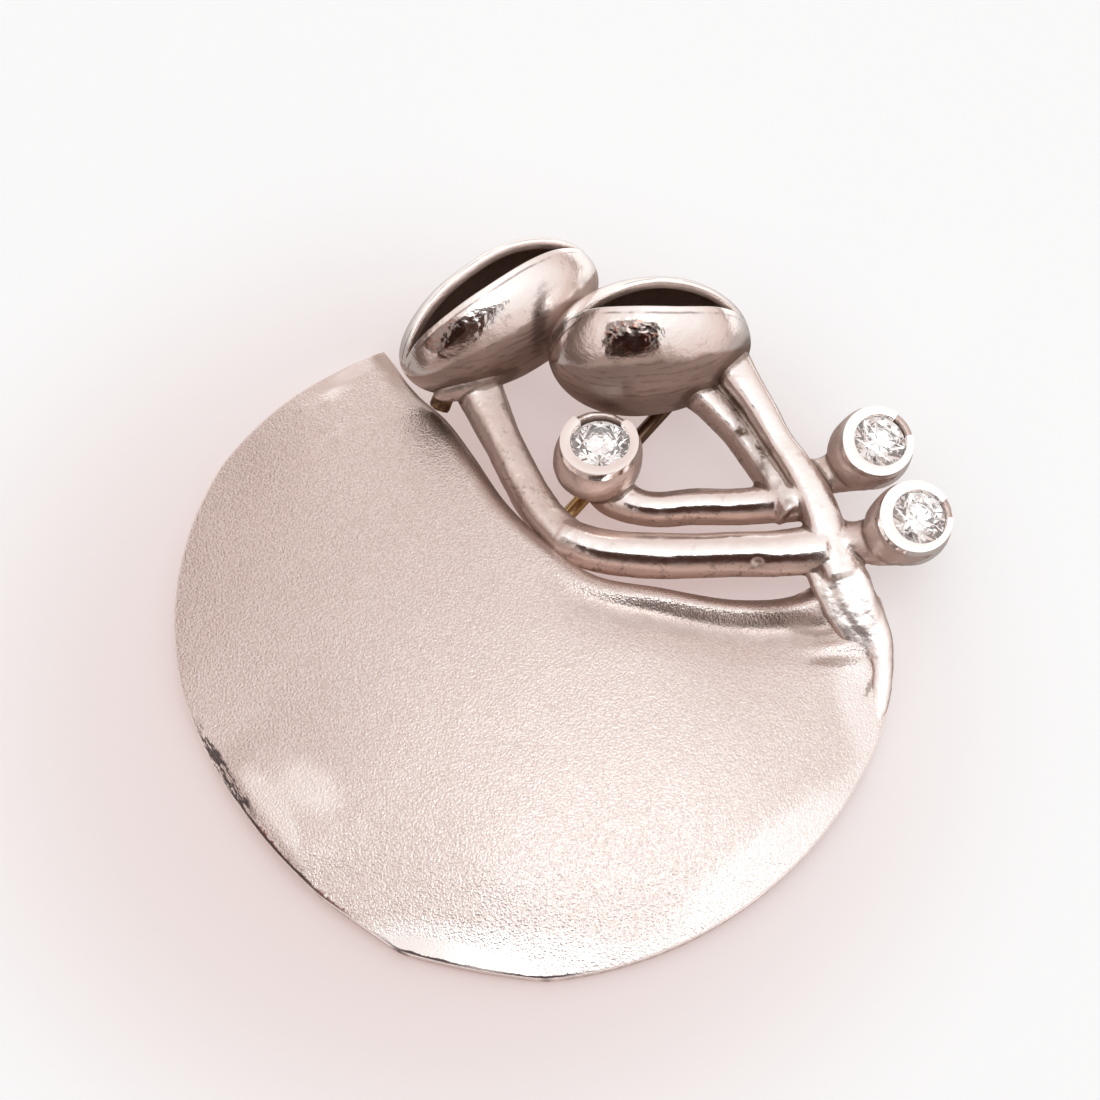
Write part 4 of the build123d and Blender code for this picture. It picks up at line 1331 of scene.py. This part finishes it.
solderBridge = {
    "radius": 0.65, "voxel": 0.08, "soften": 3, "uneven": 0.05, "unevenScale": 2.2,
    # shares of the leaf's radius across and along, share of the stem level, and share of the radius
    "rows": [(-0.268, 0.690, 0.80, 0.85), (-0.250, 0.720, 1.00, 0.80), (-0.235, 0.765, 1.35, 1.2)],
}


def makeSolder():
    mesh = bmesh.new()
    rows = [(*spot(a, b, stemLevel * level), solderBridge["radius"] * thick)
            for a, b, level, thick in solderBridge["rows"]]
    addRod(mesh, [(*row, row[-1]) for row in rows])
    bmesh.ops.recalc_face_normals(mesh, faces=mesh.faces)
    mesh = meltTogether(mesh, solderBridge["voxel"])
    smoothOver(mesh, solderBridge["soften"])
    mesh.normal_update()
    for vert in mesh.verts:
        wave = noise.noise(vert.co * solderBridge["unevenScale"])
        vert.co += vert.normal * solderBridge["uneven"] * wave
    finishPiece("solderBridge", mesh, solderMetal)


makeSolder()


# The hinge ears and the catch under the piece

# place is in shares of the leaf's radius and catchShare is one of the pin's length
hinge = {
    "place": (0.436, 0.805), "level": 1.3, "heading": -129.6, "tilt": 32.0,
    "barrel": 0.72, "length": 1.0, "gap": 0.05, "ear": 0.5, "earSink": 0.6, "edgeRound": 0.00006,
    "pinLength": 22.0, "pinRadius": 0.38,
    "catchShare": 0.93, "catchWire": 0.45, "catchGap": 0.2, "catchWidth": 1.2, "catchMouth": 50.0,
    "catchPost": 1.2, "catchPostUp": 0.25, "catchRound": 0.00005,
}


def hingePlane():
    heading, tilt = radians(hinge["heading"]), radians(hinge["tilt"])
    along = Vector((cos(heading), sin(heading), 0))
    side = Vector((-sin(heading), cos(heading), 0))
    axis = side * cos(tilt) + Vector((0, 0, 1)) * sin(tilt)
    place = Matrix((along, axis.cross(along), axis)).transposed().to_4x4()
    return Matrix.Translation(spot(*hinge["place"], hinge["level"])) @ place


def makeEars():
    mesh = bmesh.new()
    rise = (pods["rightPod"]["level"] - hinge["level"]) / cos(radians(hinge["tilt"]))
    rise = rise - pods["rightPod"]["tall"] + hinge["earSink"]
    inner = hinge["length"] / 2 + hinge["gap"]
    for low in (inner, -inner - hinge["ear"]):
        rounded = bmesh.ops.create_circle(mesh, cap_ends=False, segments=48, radius=hinge["barrel"])["verts"]
        for vert in rounded:
            if vert.co.y < 0:
                vert.co.y = vert.co.y - rise
            vert.co.z = low
        edges = list({edge for vert in rounded for edge in vert.link_edges})
        face = bmesh.ops.contextual_create(mesh, geom=edges)["faces"]
        made = bmesh.ops.extrude_face_region(mesh, geom=face, use_keep_orig=True)["geom"]
        bmesh.ops.translate(mesh, verts=[item for item in made if isinstance(item, bmesh.types.BMVert)],
                            vec=(0, 0, hinge["ear"]))
    bmesh.ops.recalc_face_normals(mesh, faces=mesh.faces)
    mesh.transform(hingePlane())
    piece = finishPiece("hingeEars", mesh, rimGold)
    roundEdges(piece, hinge["edgeRound"])


def makeCatch():
    mesh = bmesh.new()
    inner = hinge["pinRadius"] + hinge["catchGap"]
    outer = inner + hinge["catchWire"]
    station = hinge["catchShare"] * hinge["pinLength"]
    mouth = radians(hinge["catchMouth"])
    corners = [(inner, 0), (outer, 0), (outer, hinge["catchWidth"]), (inner, hinge["catchWidth"])]
    verts = [mesh.verts.new((station - hinge["catchWidth"] / 2 + b, a, 0)) for a, b in corners]
    edges = [mesh.edges.new((verts[i], verts[(i + 1) % 4])) for i in range(4)]
    bmesh.ops.rotate(mesh, verts=verts, cent=(0, 0, 0), matrix=Matrix.Rotation(mouth, 3, "X"))
    ends = bmesh.ops.spin(mesh, geom=verts + edges, cent=(0, 0, 0), axis=(1, 0, 0),
                          angle=2 * pi - 2 * mouth, steps=40, use_merge=False)["geom_last"]
    bmesh.ops.contextual_create(mesh, geom=edges)
    bmesh.ops.contextual_create(mesh, geom=[item for item in ends if isinstance(item, bmesh.types.BMEdge)])
    place = Matrix.Translation((station, -outer - hinge["catchPostUp"], 0))
    place = place @ Matrix.Diagonal((hinge["catchWidth"], hinge["catchPost"], 2 * hinge["catchWire"], 1.0))
    bmesh.ops.create_cube(mesh, size=1.0, matrix=place)
    bmesh.ops.recalc_face_normals(mesh, faces=mesh.faces)
    mesh.transform(hingePlane())
    piece = finishPiece("catchHook", mesh, rimGold)
    roundEdges(piece, hinge["catchRound"])


makeEars()
makeCatch()


# The stones, the pin and its rivet keep their own solids and take their finish

solidFinishes = {
    "inner_diamond": stoneGlass,
    "upper_diamond": stoneGlass,
    "lower_diamond": stoneGlass,
    "pin_wire": pinGold,
    "hinge_rivet": pinGold,
}
for nodeName, material in solidFinishes.items():
    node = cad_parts[nodeName]
    node.data.materials.clear()
    node.data.materials.append(material)
print("stones and pin finished")
